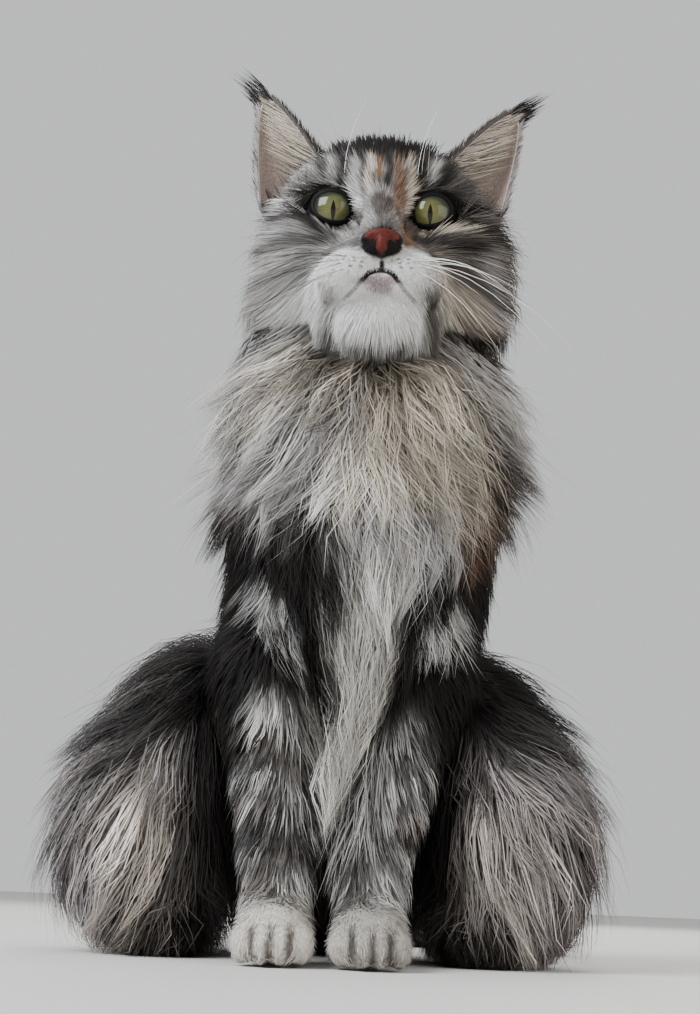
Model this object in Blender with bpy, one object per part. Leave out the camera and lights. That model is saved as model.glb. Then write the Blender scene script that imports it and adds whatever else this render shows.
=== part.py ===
"""A long-haired Maine Coon cat sitting upright, life size, as a still model.

The cat faces -Y, +X is its left side and the floor is z = 0. Each part of the body is one closed
solid. A rounded core is a smooth union of named forms, and flat tapered locks of coat grow from it.
"""

import math

import bmesh
import bpy
import numpy as np
from mathutils import Euler, Matrix, Vector
from mathutils.kdtree import KDTree

# Driving dimensions, in metres
MIDDLE_SHIFT = Vector((-0.0088, -0.1546, 0.0))  # puts the origin under the middle of the finished cat
EYE_HEIGHT = 0.3625
EYE_SPACING = 0.049
EYE_RADIUS = 0.0115
EYE_FORWARD = -0.0015
LID_HALF_WIDTH = 0.0108
LID_HALF_HEIGHT = 0.0094
LID_RADIUS = 0.0014
MOUTH_HALF_WIDTH = 0.021
MOUTH_HEIGHT = -0.0455
MOUTH_DROP = 0.0055
HEAD_X = 0.0150
HEAD_Y = -0.015
HEAD_PITCH = math.radians(10)  # the face looks down a little
GAP = 0.0003
FLOOR_CLEARANCE = 0.0008
TINY_EDGE = 0.000008
TOUCH = 0.00004  # points of the surface this close are drawn apart by as much

CHEST_X = 0.0135
CHEST_HEIGHT = 0.213
CHEST_HALF_WIDTH = 0.057
RUMP_Y = 0.150
RUMP_HALF_WIDTH = 0.080
THIGH_X = 0.078
LEG_X = 0.0215
PAW_WIDTH = 0.040
ELBOW_SPREAD = 0.036
ELBOW_Y = 0.062
ELBOW_HEIGHT = 0.128
WRIST_Y = 0.022
WRIST_HEIGHT = 0.042
EAR_LENGTH = 0.060
EAR_BASE_RADIUS = 0.0215
EAR_THICKNESS = 0.003
TAIL_RADIUS = 0.019

SIDES = (("right", -1), ("left", 1))

# Colour and roughness of each kind of coat, and of the eyes
FINISHES = {
    "silver": ((0.42, 0.40, 0.39), 0.85),
    "dark": ((0.10, 0.085, 0.08), 0.85),
    "pale": ((0.66, 0.63, 0.60), 0.85),
    "iris": ((0.42, 0.44, 0.16), 0.1),
}

CORES = {  # grid step and triangle count of each body that the locks grow on
    "head": (0.0025, 1250),
    "neck": (0.005, 170),
    "forepaw": (0.0016, 280),
    "foreleg": (0.004, 150),
    "hindfoot": (0.0018, 200),
    "hindleg": (0.005, 180),
    "tail": (0.003, 90),
    "torso": (0.005, 340),
}
ROD_STEPS = 6  # balls set along a rod before the bodies are fused

COVERED = 0.002  # a root closer than this to another part of the body is hidden
LOCK_STEPS = 6  # places where the middle line of a lock is worked out
LOCK_RINGS = ((0.0, 0.72, 1.0), (0.36, 1.0, 0.95), (0.72, 0.66, 0.62))  # share of length, width, thickness


# Forms: ellipsoids and tapered rods, measured from their surfaces


def ball(centre, semi, turn=(0, 0, 0), blend=0.012):
    """An ellipsoid with semi-axes semi, turned by degrees about X, Y and Z."""
    spin = Euler([math.radians(a) for a in turn]).to_matrix()
    return {"kind": "ball", "centre": Vector(centre), "semi": Vector(semi), "spin": spin, "blend": blend}


def rod(start, end, start_radius, end_radius, blend=0.012):
    """A round tapered rod with ball ends."""
    return {
        "kind": "rod",
        "start": Vector(start),
        "end": Vector(end),
        "radii": (start_radius, end_radius),
        "blend": blend,
    }


def moved(form, matrix):
    """The same form carried by a rigid matrix."""
    made = dict(form)
    if form["kind"] == "ball":
        made["centre"] = matrix @ form["centre"]
        made["spin"] = matrix.to_3x3() @ form["spin"]
    else:
        made["start"] = matrix @ form["start"]
        made["end"] = matrix @ form["end"]
    return made


def form_distance(form, points):
    """How far each point is outside one form."""
    if form["kind"] == "ball":
        spin = np.array(form["spin"])
        semi = np.array(form["semi"])
        local = (points - np.array(form["centre"])) @ spin
        near = np.linalg.norm(local / semi, axis=1) + 1e-9
        steep = np.linalg.norm(local / semi**2, axis=1) + 1e-9
        return near * (near - 1) / steep
    start, end = np.array(form["start"]), np.array(form["end"])
    along = end - start
    share = np.clip((points - start) @ along / (along @ along), 0, 1)
    radius = form["radii"][0] + share * (form["radii"][1] - form["radii"][0])
    return np.linalg.norm(points - start - share[:, None] * along, axis=1) - radius


def smooth_distance(forms, points):
    """How far each point is outside the smooth union of the forms."""
    total = form_distance(forms[0], points)
    for form in forms[1:]:
        other = form_distance(form, points)
        blend = form["blend"]
        near = np.maximum(blend - np.abs(total - other), 0) / blend
        total = np.minimum(total, other) - near * near * blend / 4
    return total


def slope(forms, points, step=0.0005):
    """The outward direction of the smooth union at each point."""
    found = np.empty_like(points)
    for axis in range(3):
        shift = np.zeros(3)
        shift[axis] = step
        found[:, axis] = smooth_distance(forms, points + shift) - smooth_distance(forms, points - shift)
    return found / (np.linalg.norm(found, axis=1, keepdims=True) + 1e-12)


def settle(forms, points, rounds=6):
    """Moves points onto the surface of the smooth union."""
    for _ in range(rounds):
        points = points - slope(forms, points) * smooth_distance(forms, points)[:, None]
    return points


# Meshes and objects


def bake(obj):
    """Applies the object's modifiers."""
    bpy.context.view_layer.update()
    graph = bpy.context.evaluated_depsgraph_get()
    mesh = bpy.data.meshes.new_from_object(obj.evaluated_get(graph))
    obj.modifiers.clear()
    obj.data = mesh


def add_object(name, mesh):
    obj = bpy.data.objects.new(name, mesh)
    bpy.context.scene.collection.objects.link(obj)
    return obj


def mesh_of(name, points, faces):
    mesh = bpy.data.meshes.new(name)
    mesh.from_pydata([tuple(p) for p in points], [], faces)
    mesh.update()
    return mesh


def add_ball(bm, centre, semi, spin):
    """An icosphere stretched to the semi-axes."""
    place = Matrix.Translation(centre) @ spin.to_4x4() @ Matrix.Diagonal((*semi, 1))
    bmesh.ops.create_icosphere(bm, subdivisions=3, radius=1, matrix=place)


def core(name, forms, voxel, triangles):
    """One closed rounded body: the forms fused on a voxel grid, settled on their smooth union and thinned."""
    bm = bmesh.new()
    for form in forms:
        if form["kind"] == "ball":
            add_ball(bm, form["centre"], form["semi"], form["spin"])
            continue
        for step in range(ROD_STEPS + 1):
            share = step / ROD_STEPS
            radius = form["radii"][0] + share * (form["radii"][1] - form["radii"][0])
            add_ball(bm, form["start"].lerp(form["end"], share), (radius,) * 3, Matrix.Identity(3))
    mesh = bpy.data.meshes.new(name)
    bm.to_mesh(mesh)
    bm.free()
    obj = add_object(name, mesh)
    remesh = obj.modifiers.new("Fuse", "REMESH")
    remesh.mode = "VOXEL"
    remesh.voxel_size = voxel
    bake(obj)
    points = np.empty(len(obj.data.vertices) * 3)
    obj.data.vertices.foreach_get("co", points)
    points = settle(forms, points.reshape(-1, 3))
    obj.data.vertices.foreach_set("co", points.ravel())
    obj.data.update()
    thin = obj.modifiers.new("Thin", "DECIMATE")
    thin.ratio = triangles / (2 * len(obj.data.polygons))
    thin.use_collapse_triangulate = True
    bake(obj)
    return obj


def cut_flat(obj, point, normal):
    """Cuts the object by a plane, keeps what is behind it and closes the cut."""
    bm = bmesh.new()
    bm.from_mesh(obj.data)
    everything = bm.verts[:] + bm.edges[:] + bm.faces[:]
    bmesh.ops.bisect_plane(bm, geom=everything, plane_co=point, plane_no=normal, clear_outer=True)
    open_edges = [edge for edge in bm.edges if len(edge.link_faces) == 1]
    bmesh.ops.holes_fill(bm, edges=open_edges)
    bmesh.ops.triangulate(bm, faces=bm.faces[:])
    bmesh.ops.recalc_face_normals(bm, faces=bm.faces[:])
    bm.to_mesh(obj.data)
    bm.free()


def keep_largest(obj):
    """Keeps the object's largest closed surface."""
    bm = bmesh.new()
    bm.from_mesh(obj.data)
    bm.faces.ensure_lookup_table()
    left = set(bm.faces)
    pieces = []
    while left:
        piece, front = set(), [left.pop()]
        while front:
            face = front.pop()
            piece.add(face)
            for edge in face.edges:
                for other in edge.link_faces:
                    if other in left:
                        left.remove(other)
                        front.append(other)
        pieces.append(piece)
    sizes = [spread_of([v.co for f in piece for v in f.verts]) for piece in pieces]
    largest = pieces[sizes.index(max(sizes))]
    loose = [face for face in bm.faces if face not in largest]
    bmesh.ops.delete(bm, geom=loose, context="FACES")
    bmesh.ops.delete(bm, geom=[v for v in bm.verts if not v.link_faces], context="VERTS")
    bm.to_mesh(obj.data)
    bm.free()


def can_close(edge):
    """Whether an edge is tiny and its two ends can become one point with the surface still closed."""
    if edge.calc_length() > TINY_EDGE:
        return False
    rounds = [{other.other_vert(vert) for other in vert.link_edges} for vert in edge.verts]
    return len(rounds[0] & rounds[1]) == 2


def part_touches(obj):
    """Closes the tiniest edges and draws apart places where two sheets of the surface touch."""
    bm = bmesh.new()
    bm.from_mesh(obj.data)
    while closable := next((edge for edge in bm.edges if can_close(edge)), None):
        bmesh.ops.collapse(bm, edges=[closable])
    bm.normal_update()
    bm.verts.ensure_lookup_table()
    tree = KDTree(len(bm.verts))
    for vert in bm.verts:
        tree.insert(vert.co, vert.index)
    tree.balance()
    touching = []
    for vert in bm.verts:
        linked = {edge.other_vert(vert).index for edge in vert.link_edges} | {vert.index}
        near = {index for _, index, _ in tree.find_range(vert.co, TOUCH)}
        if near - linked:
            touching.append(vert)
    for vert, inward in [(vert, vert.normal * -TOUCH) for vert in touching]:
        vert.co += inward
    bm.to_mesh(obj.data)
    bm.free()


def spread_of(points):
    """The diagonal of the box round the points."""
    low = [min(p[axis] for p in points) for axis in range(3)]
    high = [max(p[axis] for p in points) for axis in range(3)]
    return math.dist(low, high)


def combine(obj, others, operation):
    """One Boolean of the object with a collection of closed objects, which are then removed."""
    if not others:
        return
    group = bpy.data.collections.new("Pieces")
    bpy.context.scene.collection.children.link(group)
    for other in others:
        bpy.context.scene.collection.objects.unlink(other)
        group.objects.link(other)
    modifier = obj.modifiers.new("Join", "BOOLEAN")
    modifier.operation = operation
    modifier.operand_type = "COLLECTION"
    modifier.collection = group
    modifier.solver = "MANIFOLD"
    bake(obj)
    for other in others:
        bpy.data.objects.remove(other)
    bpy.data.collections.remove(group)


def grown(obj, by=GAP):
    """The object's mesh, swollen by a gap, to cut its neighbours with."""
    mesh = obj.data.copy()
    bm = bmesh.new()
    bm.from_mesh(mesh)
    bm.normal_update()
    for vert, shift in [(v, v.normal * by * min(v.calc_shell_factor(), 3)) for v in bm.verts]:
        vert.co += shift
    bm.to_mesh(mesh)
    bm.free()
    return mesh


# Locks of coat


def unit(vectors):
    return vectors / (np.linalg.norm(vectors, axis=1, keepdims=True) + 1e-12)


def spread_roots(obj, inside, covers, count, rng):
    """Evenly spread places on the object where inside(points, normals) holds and no other form covers it."""
    mesh = obj.data
    mesh.calc_loop_triangles()
    corners = np.array([[mesh.vertices[i].co for i in tri.vertices] for tri in mesh.loop_triangles])
    cross = np.cross(corners[:, 1] - corners[:, 0], corners[:, 2] - corners[:, 0])
    area = np.linalg.norm(cross, axis=1)
    picked = rng.choice(len(corners), 6000, p=area / area.sum())
    mix = rng.dirichlet((1, 1, 1), 6000)
    points = np.einsum("nij,ni->nj", corners[picked], mix)
    points = points[inside(points, unit(cross)[picked])]
    if covers:
        points = points[smooth_distance(covers, points) > COVERED]
    chosen = [0]
    near = np.linalg.norm(points - points[0], axis=1)
    while len(chosen) < min(count, len(points)):
        chosen.append(int(near.argmax()))
        near = np.minimum(near, np.linalg.norm(points - points[chosen[-1]], axis=1))
    return points[chosen]


def lock_lines(forms, roots, flow, style, rng):
    """Middle lines of locks that follow the flow over the forms and rise from them towards the tips."""
    count = len(roots)
    lengths = style["length"] * rng.uniform(0.85, 1.15, count)[:, None]
    bends = style["curl"] * rng.uniform(-1, 1, count)[:, None]
    stand = style["stand"] * rng.uniform(0.8, 1.2, count)[:, None]
    points = settle(forms, roots)
    lines, sides, ups = [], [], []
    for step in range(LOCK_STEPS + 1):
        share = step / LOCK_STEPS
        up = slope(forms, points)
        ahead = flow(points)
        ahead = unit(ahead - up * (ahead * up).sum(1, keepdims=True))
        side = np.cross(ahead, up)
        height = -style["sink"] + (stand + style["sink"]) * share**0.8
        line = points + up * height + side * bends * lengths * math.sin(math.pi * share * 1.2)
        lowest = 2 * FLOOR_CLEARANCE + style["thick"] * (1 - 0.6 * share) / 2
        line[:, 2] = np.maximum(line[:, 2], lowest)
        lines.append(line)
        sides.append(side)
        ups.append(up)
        points = settle(forms, points + ahead * lengths / LOCK_STEPS, rounds=2)
    return np.array(lines), np.array(sides), np.array(ups)


def lock_mesh(name, line, side, up, width, thick, lowest=FLOOR_CLEARANCE):
    """One closed flat lock: diamond sections along its middle line, ending in a point."""
    points = []
    for share, wide, deep in LOCK_RINGS:
        place = share * LOCK_STEPS
        index = min(int(place), LOCK_STEPS - 1)
        part = place - index
        middle = line[index] * (1 - part) + line[index + 1] * part
        across = side[index] * width * wide / 2
        above = up[index] * thick * deep / 2
        for corner in (middle + across, middle + above, middle - across, middle - above):
            corner[2] = max(corner[2], lowest)
            points.append(corner)
    points.append(line[LOCK_STEPS])
    tip = len(points) - 1
    faces = [(0, 1, 2), (0, 2, 3)]
    for ring in range(len(LOCK_RINGS) - 1):
        for corner in range(4):
            a, b = ring * 4 + corner, ring * 4 + (corner + 1) % 4
            faces += [(a, a + 4, b), (b, a + 4, b + 4)]
    last = (len(LOCK_RINGS) - 1) * 4
    faces += [(last + corner, tip, last + (corner + 1) % 4) for corner in range(4)]
    obj = add_object(name, mesh_of(name, points, faces))
    bm = bmesh.new()
    bm.from_mesh(obj.data)
    bmesh.ops.recalc_face_normals(bm, faces=bm.faces[:])
    bm.to_mesh(obj.data)
    bm.free()
    return obj


def grow_locks(obj, inside, flow, style, seed, covers=()):
    """Closed locks spread over part of an object, lying along the flow."""
    rng = np.random.default_rng(seed)
    roots = spread_roots(obj, inside, covers, style["count"], rng)
    lines, sides, ups = lock_lines(body_forms(), roots, flow, style, rng)
    widths = style["width"] * rng.uniform(0.8, 1.2, len(roots))
    lows = FLOOR_CLEARANCE * rng.uniform(1, 2, len(roots))
    return [
        lock_mesh("lock", lines[:, k], sides[:, k], ups[:, k], widths[k], style["thick"], lows[k])
        for k in range(len(roots))
    ]


# Forms of the cat


def head_place():
    """From the head's own frame, with its origin between the eyes, to the cat's."""
    return Matrix.Translation((HEAD_X, HEAD_Y, EYE_HEIGHT)) @ Matrix.Rotation(HEAD_PITCH, 4, "X")


def head_forms():
    forms = [
        ball((0, 0.034, 0.010), (0.048, 0.044, 0.033)),
        ball((0, 0.012, 0.012), (0.036, 0.022, 0.025)),
        ball((0, 0.022, -0.026), (0.040, 0.034, 0.026)),
        rod((0, -0.006, 0.006), (0, -0.034, -0.021), 0.0125, 0.0090, blend=0.010),
        ball((0, -0.012, -0.036), (0.031, 0.027, 0.021)),
        ball((0, 0.000, -0.053), (0.027, 0.030, 0.016)),
        ball((0, -0.026, -0.060), (0.019, 0.013, 0.011), blend=0.008),
        ball((0, -0.041, -0.0275), (0.0100, 0.0065, 0.0075), blend=0.004),
    ]
    for _, side in SIDES:
        forms.append(ball((side * 0.031, 0.022, -0.018), (0.026, 0.032, 0.030)))
        forms.append(ball((side * 0.0145, -0.031, -0.041), (0.0175, 0.0165, 0.0125), blend=0.005))
        forms.append(ball((side * 0.029, 0.008, 0.014), (0.015, 0.012, 0.009), blend=0.008))
    return [moved(form, head_place()) for form in forms]


def neck_forms():
    return [
        rod((CHEST_X, 0.052, 0.262), (HEAD_X, 0.034, 0.335), 0.058, 0.046),
        ball((CHEST_X, 0.030, 0.262), (0.050, 0.040, 0.045)),
    ]


def torso_forms():
    return [
        ball((CHEST_X, 0.056, CHEST_HEIGHT - 0.003), (CHEST_HALF_WIDTH, 0.056, 0.076), (12, 0, 0), 0.03),
        ball((CHEST_X, 0.080, 0.252), (0.048, 0.046, 0.056), (20, 0, 0), 0.04),
        ball((0.006, 0.108, 0.160), (0.064, 0.070, 0.098), (22, 0, 0), 0.05),
        ball((0, RUMP_Y, 0.076), (RUMP_HALF_WIDTH, 0.080, 0.079), (0, 0, 0), 0.05),
        ball((0.002, 0.040, 0.150), (0.036, 0.028, 0.052), (0, 0, 0), 0.02),
    ]


def foreleg_forms(side):
    shoulder = Vector((CHEST_X + side * 0.035, 0.054, 0.210))
    elbow = Vector((0.004 + side * ELBOW_SPREAD, ELBOW_Y, ELBOW_HEIGHT))
    wrist = Vector((side * LEG_X, WRIST_Y, WRIST_HEIGHT))
    return [
        rod(shoulder, elbow, 0.032, 0.027, blend=0.03),
        rod(elbow + Vector((0, -0.020, 0.006)), wrist, 0.027, 0.0180, blend=0.02),
        rod(wrist, wrist + Vector((0, -0.004, -0.016)), 0.0180, 0.0165, blend=0.006),
    ]


def forepaw_forms(side):
    forms = [ball((side * LEG_X, -0.002, 0.0135), (0.0180, 0.026, 0.0145), (0, 0, 0), 0.006)]
    for step in range(4):
        share = step / 3 * 2 - 1  # from the outer toe to the inner one
        x = side * LEG_X + share * (PAW_WIDTH / 2 - 0.0075)
        y = -0.024 + 0.008 * share * share
        forms.append(ball((x, y, 0.0095), (0.0068, 0.0120, 0.0100), (12, 0, 0), 0.0022))
    return forms


def hindleg_forms(side):
    return [
        ball((side * THIGH_X, 0.112, 0.094), (0.043, 0.078, 0.078), (14, side * -14, side * 8), 0.02),
        ball((side * 0.091, 0.070, 0.056), (0.039, 0.054, 0.052), (0, 0, side * 10), 0.03),
    ]


def hindfoot_forms(side):
    forms = [
        rod((side * 0.084, 0.156, 0.016), (side * 0.075, 0.062, 0.013), 0.0165, 0.0150, 0.006),
    ]
    for step in range(4):
        share = step / 3 * 2 - 1
        centre = (side * 0.075 + share * 0.0130, 0.040 + 0.006 * share * share, 0.0092)
        forms.append(ball(centre, (0.0068, 0.0125, 0.0098), (12, 0, 0), 0.0022))
    return forms


TAIL_POINTS = [
    Vector(p)
    for p in (
        (0.000, 0.205),
        (-0.030, 0.258),
        (-0.034, 0.305),
        (0.006, 0.336),
        (0.060, 0.340),
        (0.108, 0.316),
        (0.140, 0.276),
    )
]
TAIL_LENGTHS = ("tail_base", "tail_middle", "tail_tip")
TAIL_STEPS = 4  # rods in each length of the tail


def tail_point(share):
    """A point of the tail's middle line and the radius there; the tail lies on the floor."""
    place = share * (len(TAIL_POINTS) - 1)
    index = min(int(place), len(TAIL_POINTS) - 2)
    part = place - index
    before, here = TAIL_POINTS[max(index - 1, 0)], TAIL_POINTS[index]
    there, after = TAIL_POINTS[index + 1], TAIL_POINTS[min(index + 2, len(TAIL_POINTS) - 1)]
    curve = here * 2 + (there - before) * part + (before * 2 - here * 5 + there * 4 - after) * part**2
    curve += (here * 3 - before - there * 3 + after) * part**3
    radius = TAIL_RADIUS * (1.15 - 0.55 * share)
    lift = radius * 0.95 + 0.022 * max(1 - share / 0.15, 0) ** 2
    return Vector((curve.x / 2, curve.y / 2, lift)), radius


def tail_forms(length):
    """The rods of one length of the tail, counted from the body."""
    forms = []
    count = len(TAIL_LENGTHS) * TAIL_STEPS
    for step in range(length * TAIL_STEPS, (length + 1) * TAIL_STEPS):
        start, start_radius = tail_point(step / count)
        end, end_radius = tail_point((step + 1) / count)
        forms.append(rod(start, end, start_radius, end_radius, blend=0.01))
    return forms


def body_forms():
    """All the forms that coat lies on."""
    forms = torso_forms() + neck_forms() + head_forms()
    for _, side in SIDES:
        forms += hindleg_forms(side) + foreleg_forms(side) + forepaw_forms(side)
    for length in range(len(TAIL_LENGTHS)):
        forms += tail_forms(length)
    return forms


# Where locks grow and how they lie


def style(count, length, width, thick, stand, sink=0.005, curl=0.04):
    return {
        "count": count,
        "length": length,
        "width": width,
        "thick": thick,
        "stand": stand,
        "sink": sink,
        "curl": curl,
    }


def directions(points, *parts):
    """One direction for each point, put together from a value or an array for each axis."""
    return np.stack([np.zeros(len(points)) + part for part in parts], axis=1)


def ruff_flow(points):
    out = np.clip((points[:, 0] - CHEST_X) / 0.05, -1, 1)
    back = np.clip((points[:, 1] - 0.05) / 0.05, -0.3, 0.8)
    return directions(points, out * 0.8, back, -1.0)


def bib_flow(points):
    inward = np.clip((CHEST_X - points[:, 0]) / 0.08, -0.3, 0.3)
    return directions(points, inward + 0.05, 0.0, -1.0)


def back_flow(points):
    out = np.clip(points[:, 0] / 0.08, -1, 1)
    return directions(points, out * 0.35, 0.5, -1.0)


def leg_flow(side):
    def flow(points):
        low = np.clip((0.12 - points[:, 2]) / 0.12, 0, 1)
        return directions(points, side * (0.55 - 0.35 * low), 0.15, -1.0)

    return flow


def foreleg_flow(side):
    def flow(points):
        return directions(points, side * 0.15, 0.6, -1.0)

    return flow


def cheek_flow(side):
    def flow(points):
        return directions(points, side * 0.7, 0.5, -0.6)

    return flow


def tail_flow(points):
    """Along the tail and a little away from its middle line."""
    line = np.array([tail_point(k / 60)[0] for k in range(61)])
    nearest = np.linalg.norm(points[:, None] - line[None], axis=2).argmin(1)
    ahead = unit(line[np.minimum(nearest + 1, 60)] - line[np.maximum(nearest - 1, 0)])
    away = unit(points - line[nearest])
    return ahead + away * 0.3 + directions(points, 0.0, 0.0, -0.25)


def grow_ruff(obj):
    look = style(33, 0.054, 0.025, 0.0050, 0.016)
    return grow_locks(obj, lambda p, n: p[:, 2] < 0.335, ruff_flow, look, 11, head_forms())


def grow_torso(obj):
    covers = neck_forms() + [form for _, side in SIDES for form in hindleg_forms(side) + foreleg_forms(side)]
    bib = style(17, 0.060, 0.021, 0.0048, 0.012, curl=0.06)
    streak = style(5, 0.082, 0.016, 0.0045, 0.008, curl=0.05)
    rear = style(17, 0.056, 0.032, 0.0050, 0.011)

    def on_bib(points, normals):
        return (normals[:, 1] < -0.25) & (points[:, 2] > 0.13) & (abs(points[:, 0] - CHEST_X) < 0.055)

    def on_streak(points, normals):
        near = abs(points[:, 0] - CHEST_X) < 0.020
        return (normals[:, 1] < -0.25) & (points[:, 2] > 0.105) & (points[:, 2] < 0.150) & near

    def on_rest(points, normals):
        return (normals[:, 1] > -0.25) & (points[:, 2] > 0.025) & (normals[:, 2] > -0.5)

    locks = grow_locks(obj, on_bib, bib_flow, bib, 21, covers)
    locks += grow_locks(obj, on_streak, bib_flow, streak, 22)
    return locks + grow_locks(obj, on_rest, back_flow, rear, 23, covers)


def grow_hindleg(obj, side):
    def outer(points, normals):
        return (normals[:, 0] * side > -0.5) & (normals[:, 2] > -0.6) & (points[:, 2] > 0.030)

    look = style(20, 0.058, 0.028, 0.0050, 0.012)
    return grow_locks(obj, outer, leg_flow(side), look, 31 + side, torso_forms() + foreleg_forms(side))


def grow_foreleg(obj, side):
    def rear(points, normals):
        return (normals[:, 1] > -0.1) & (normals[:, 0] * side > -0.2) & (points[:, 2] > 0.03)

    look = style(5, 0.028, 0.014, 0.0040, 0.005, 0.004)
    return grow_locks(obj, rear, foreleg_flow(side), look, 41 + side, torso_forms() + hindleg_forms(side))


def grow_cheek(obj, side):
    place = head_place().inverted()

    def cheek(points, normals):
        local = np.array([place @ Vector(p) for p in points])
        return (local[:, 0] * side > 0.040) & (local[:, 2] < -0.002) & (local[:, 2] > -0.045)

    return grow_locks(obj, cheek, cheek_flow(side), style(5, 0.030, 0.016, 0.0036, 0.008, 0.004), 51 + side)


def grow_tail(obj, length):
    lengths = (0.052, 0.050, 0.048)
    look = style(8, lengths[length], 0.026, 0.0046, 0.016 - 0.002 * length)
    return grow_locks(obj, lambda p, n: p[:, 2] > 0.004, tail_flow, look, 61 + length, torso_forms())


def clear_scene():
    for obj in list(bpy.data.objects):
        bpy.data.objects.remove(obj)


def ear_frame(side):
    """The base of an ear and the directions of its height, its open front and its width, in the head's frame."""
    lean = 0.020 if side < 0 else 0.028
    base = Vector((side * 0.044, 0.036, 0.020))
    axis = Vector((side * lean, 0.002, 0.052)).normalized()
    front = Vector((side * 0.42, -0.9, 0))
    front = (front - axis * front.dot(axis)).normalized()
    return base, axis, front, axis.cross(front)


def ear_point(side, height, angle, wall=0):
    """A point of the ear's cupped wall, in the head's frame; wall 0 is the outer face and 1 the inner."""
    base, axis, front, across = ear_frame(side)
    wide = EAR_BASE_RADIUS * (1 - height) ** 0.72 + 0.0036 - wall * EAR_THICKNESS * (1 - 0.45 * height)
    rise = EAR_LENGTH * height - wall * EAR_THICKNESS * 0.7 * (height == 1) - 0.006
    return base + axis * rise + across * (math.sin(angle) * wide) - front * (math.cos(angle) * wide * 0.85)


def build_ear(name, side):
    """A cupped ear: part of a cone wall, open to the front and outwards."""
    rows, columns = 5, 9
    rings = []
    for wall in (0, 1):
        for row in range(rows + 1):
            height = row / rows
            half_turn = math.radians(118 - 18 * height)
            for column in range(columns + 1):
                rings.append(ear_point(side, height, half_turn * (column / columns * 2 - 1), wall))
    width = columns + 1
    inner = (rows + 1) * width
    faces = []
    for row in range(rows):
        for column in range(columns):
            a = row * width + column
            b, c, d = a + 1, a + width + 1, a + width
            faces.append((a, b, c, d))
            faces.append((inner + d, inner + c, inner + b, inner + a))
    for column in range(columns):
        a, top = column, rows * width + column
        faces.append((a + 1, a, inner + a, inner + a + 1))
        faces.append((top, top + 1, inner + top + 1, inner + top))
    for row in range(rows):
        a, b = row * width, (row + 1) * width
        faces.append((a, b, inner + b, inner + a))
        a, b = a + columns, b + columns
        faces.append((b, a, inner + a, inner + b))
    place = head_place()
    obj = add_object(name, mesh_of(name, [place @ p for p in rings], faces))
    bm = bmesh.new()
    bm.from_mesh(obj.data)
    bmesh.ops.triangulate(bm, faces=bm.faces[:])
    bmesh.ops.recalc_face_normals(bm, faces=bm.faces[:])
    bm.to_mesh(obj.data)
    bm.free()
    return obj


def free_lock(root, ahead, bend, facing, length, width, thick):
    """A lock that stands free of the body: root and directions in the head's frame."""
    place = head_place()
    turn = place.to_3x3()
    line, sides, ups = [], [], []
    for step in range(LOCK_STEPS + 1):
        share = step / LOCK_STEPS
        line.append(place @ (root + ahead * (length * share) + bend * (length * share * share)))
        along = (ahead + bend * (2 * share)).normalized()
        side = along.cross(facing).normalized()
        sides.append(turn @ side)
        ups.append(turn @ side.cross(along))
    line, sides, ups = (np.array([tuple(v) for v in vectors]) for vectors in (line, sides, ups))
    return lock_mesh("lock", line, sides, ups, width, thick)


def grow_ear(side):
    """The lynx tip of an ear and the tufts that cross its cup from the inner edge."""
    _, axis, front, across = ear_frame(side)
    outward = across if across.x * side > 0 else -across
    locks = []
    for lean in (-0.1, 0.35):
        root = ear_point(side, 0.93, 0) + front * 0.002
        locks.append(free_lock(root, axis + outward * lean, outward * 0.2, front, 0.021, 0.006, 0.0036))
    inner_edge = -math.copysign(math.radians(96), across.x * side)
    for height in (0.12, 0.34, 0.56):
        root = ear_point(side, height, inner_edge, 0.5)
        ahead = outward * 0.75 + axis * 0.65 + front * 0.1
        length = 0.026 * (1 - 0.5 * height)
        locks.append(free_lock(root - ahead * 0.001, ahead, axis * 0.15, front, length, 0.006, 0.0022))
    return locks


# Details of the face, in the head's frame


def tube(points, radius, closed=False, sides=4):
    """A closed round tube along the points, or a ring through them."""
    count = len(points)
    rings = []
    for index, point in enumerate(points):
        before = points[index - 1] if closed or index else point
        after = points[(index + 1) % count] if closed or index < count - 1 else point
        along = (after - before).normalized()
        first = along.cross(Vector((0.13, 0.37, 0.92))).normalized()
        second = along.cross(first)
        for corner in range(sides):
            angle = math.tau * corner / sides
            rings.append(point + first * (radius * math.cos(angle)) + second * (radius * math.sin(angle)))
    faces = []
    for index in range(count if closed else count - 1):
        for corner in range(sides):
            a, b = index * sides + corner, index * sides + (corner + 1) % sides
            c, d = (a + sides) % len(rings), (b + sides) % len(rings)
            faces += [(a, b, d), (a, d, c)]
    if not closed:
        last = (count - 1) * sides
        faces += [(0, k + 1, k) for k in range(1, sides - 1)]
        faces += [(last, last + k, last + k + 1) for k in range(1, sides - 1)]
    place = head_place()
    obj = add_object("tube", mesh_of("tube", [place @ p for p in rings], faces))
    bm = bmesh.new()
    bm.from_mesh(obj.data)
    bmesh.ops.recalc_face_normals(bm, faces=bm.faces[:])
    bm.to_mesh(obj.data)
    bm.free()
    return obj


def on_face(points):
    """Points of the head's frame brought onto the face."""
    place = head_place()
    found = settle(head_forms(), np.array([tuple(place @ Vector(p)) for p in points]))
    return [place.inverted() @ Vector(p) for p in found]


def build_lids(side):
    """A rim of skin round the eye, which lies on the eyeball and tilts up at its outer corner."""
    reach = EYE_RADIUS + LID_RADIUS + GAP
    points = []
    for step in range(14):
        angle = math.tau * step / 14
        x = LID_HALF_WIDTH * math.cos(angle)
        z = LID_HALF_HEIGHT * math.sin(angle) + 0.12 * x
        depth = math.sqrt(reach**2 - x * x - z * z)
        points.append(Vector((side * (EYE_SPACING / 2 + x), EYE_FORWARD - depth, z)))
    return tube(points, LID_RADIUS, closed=True, sides=5)


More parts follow.
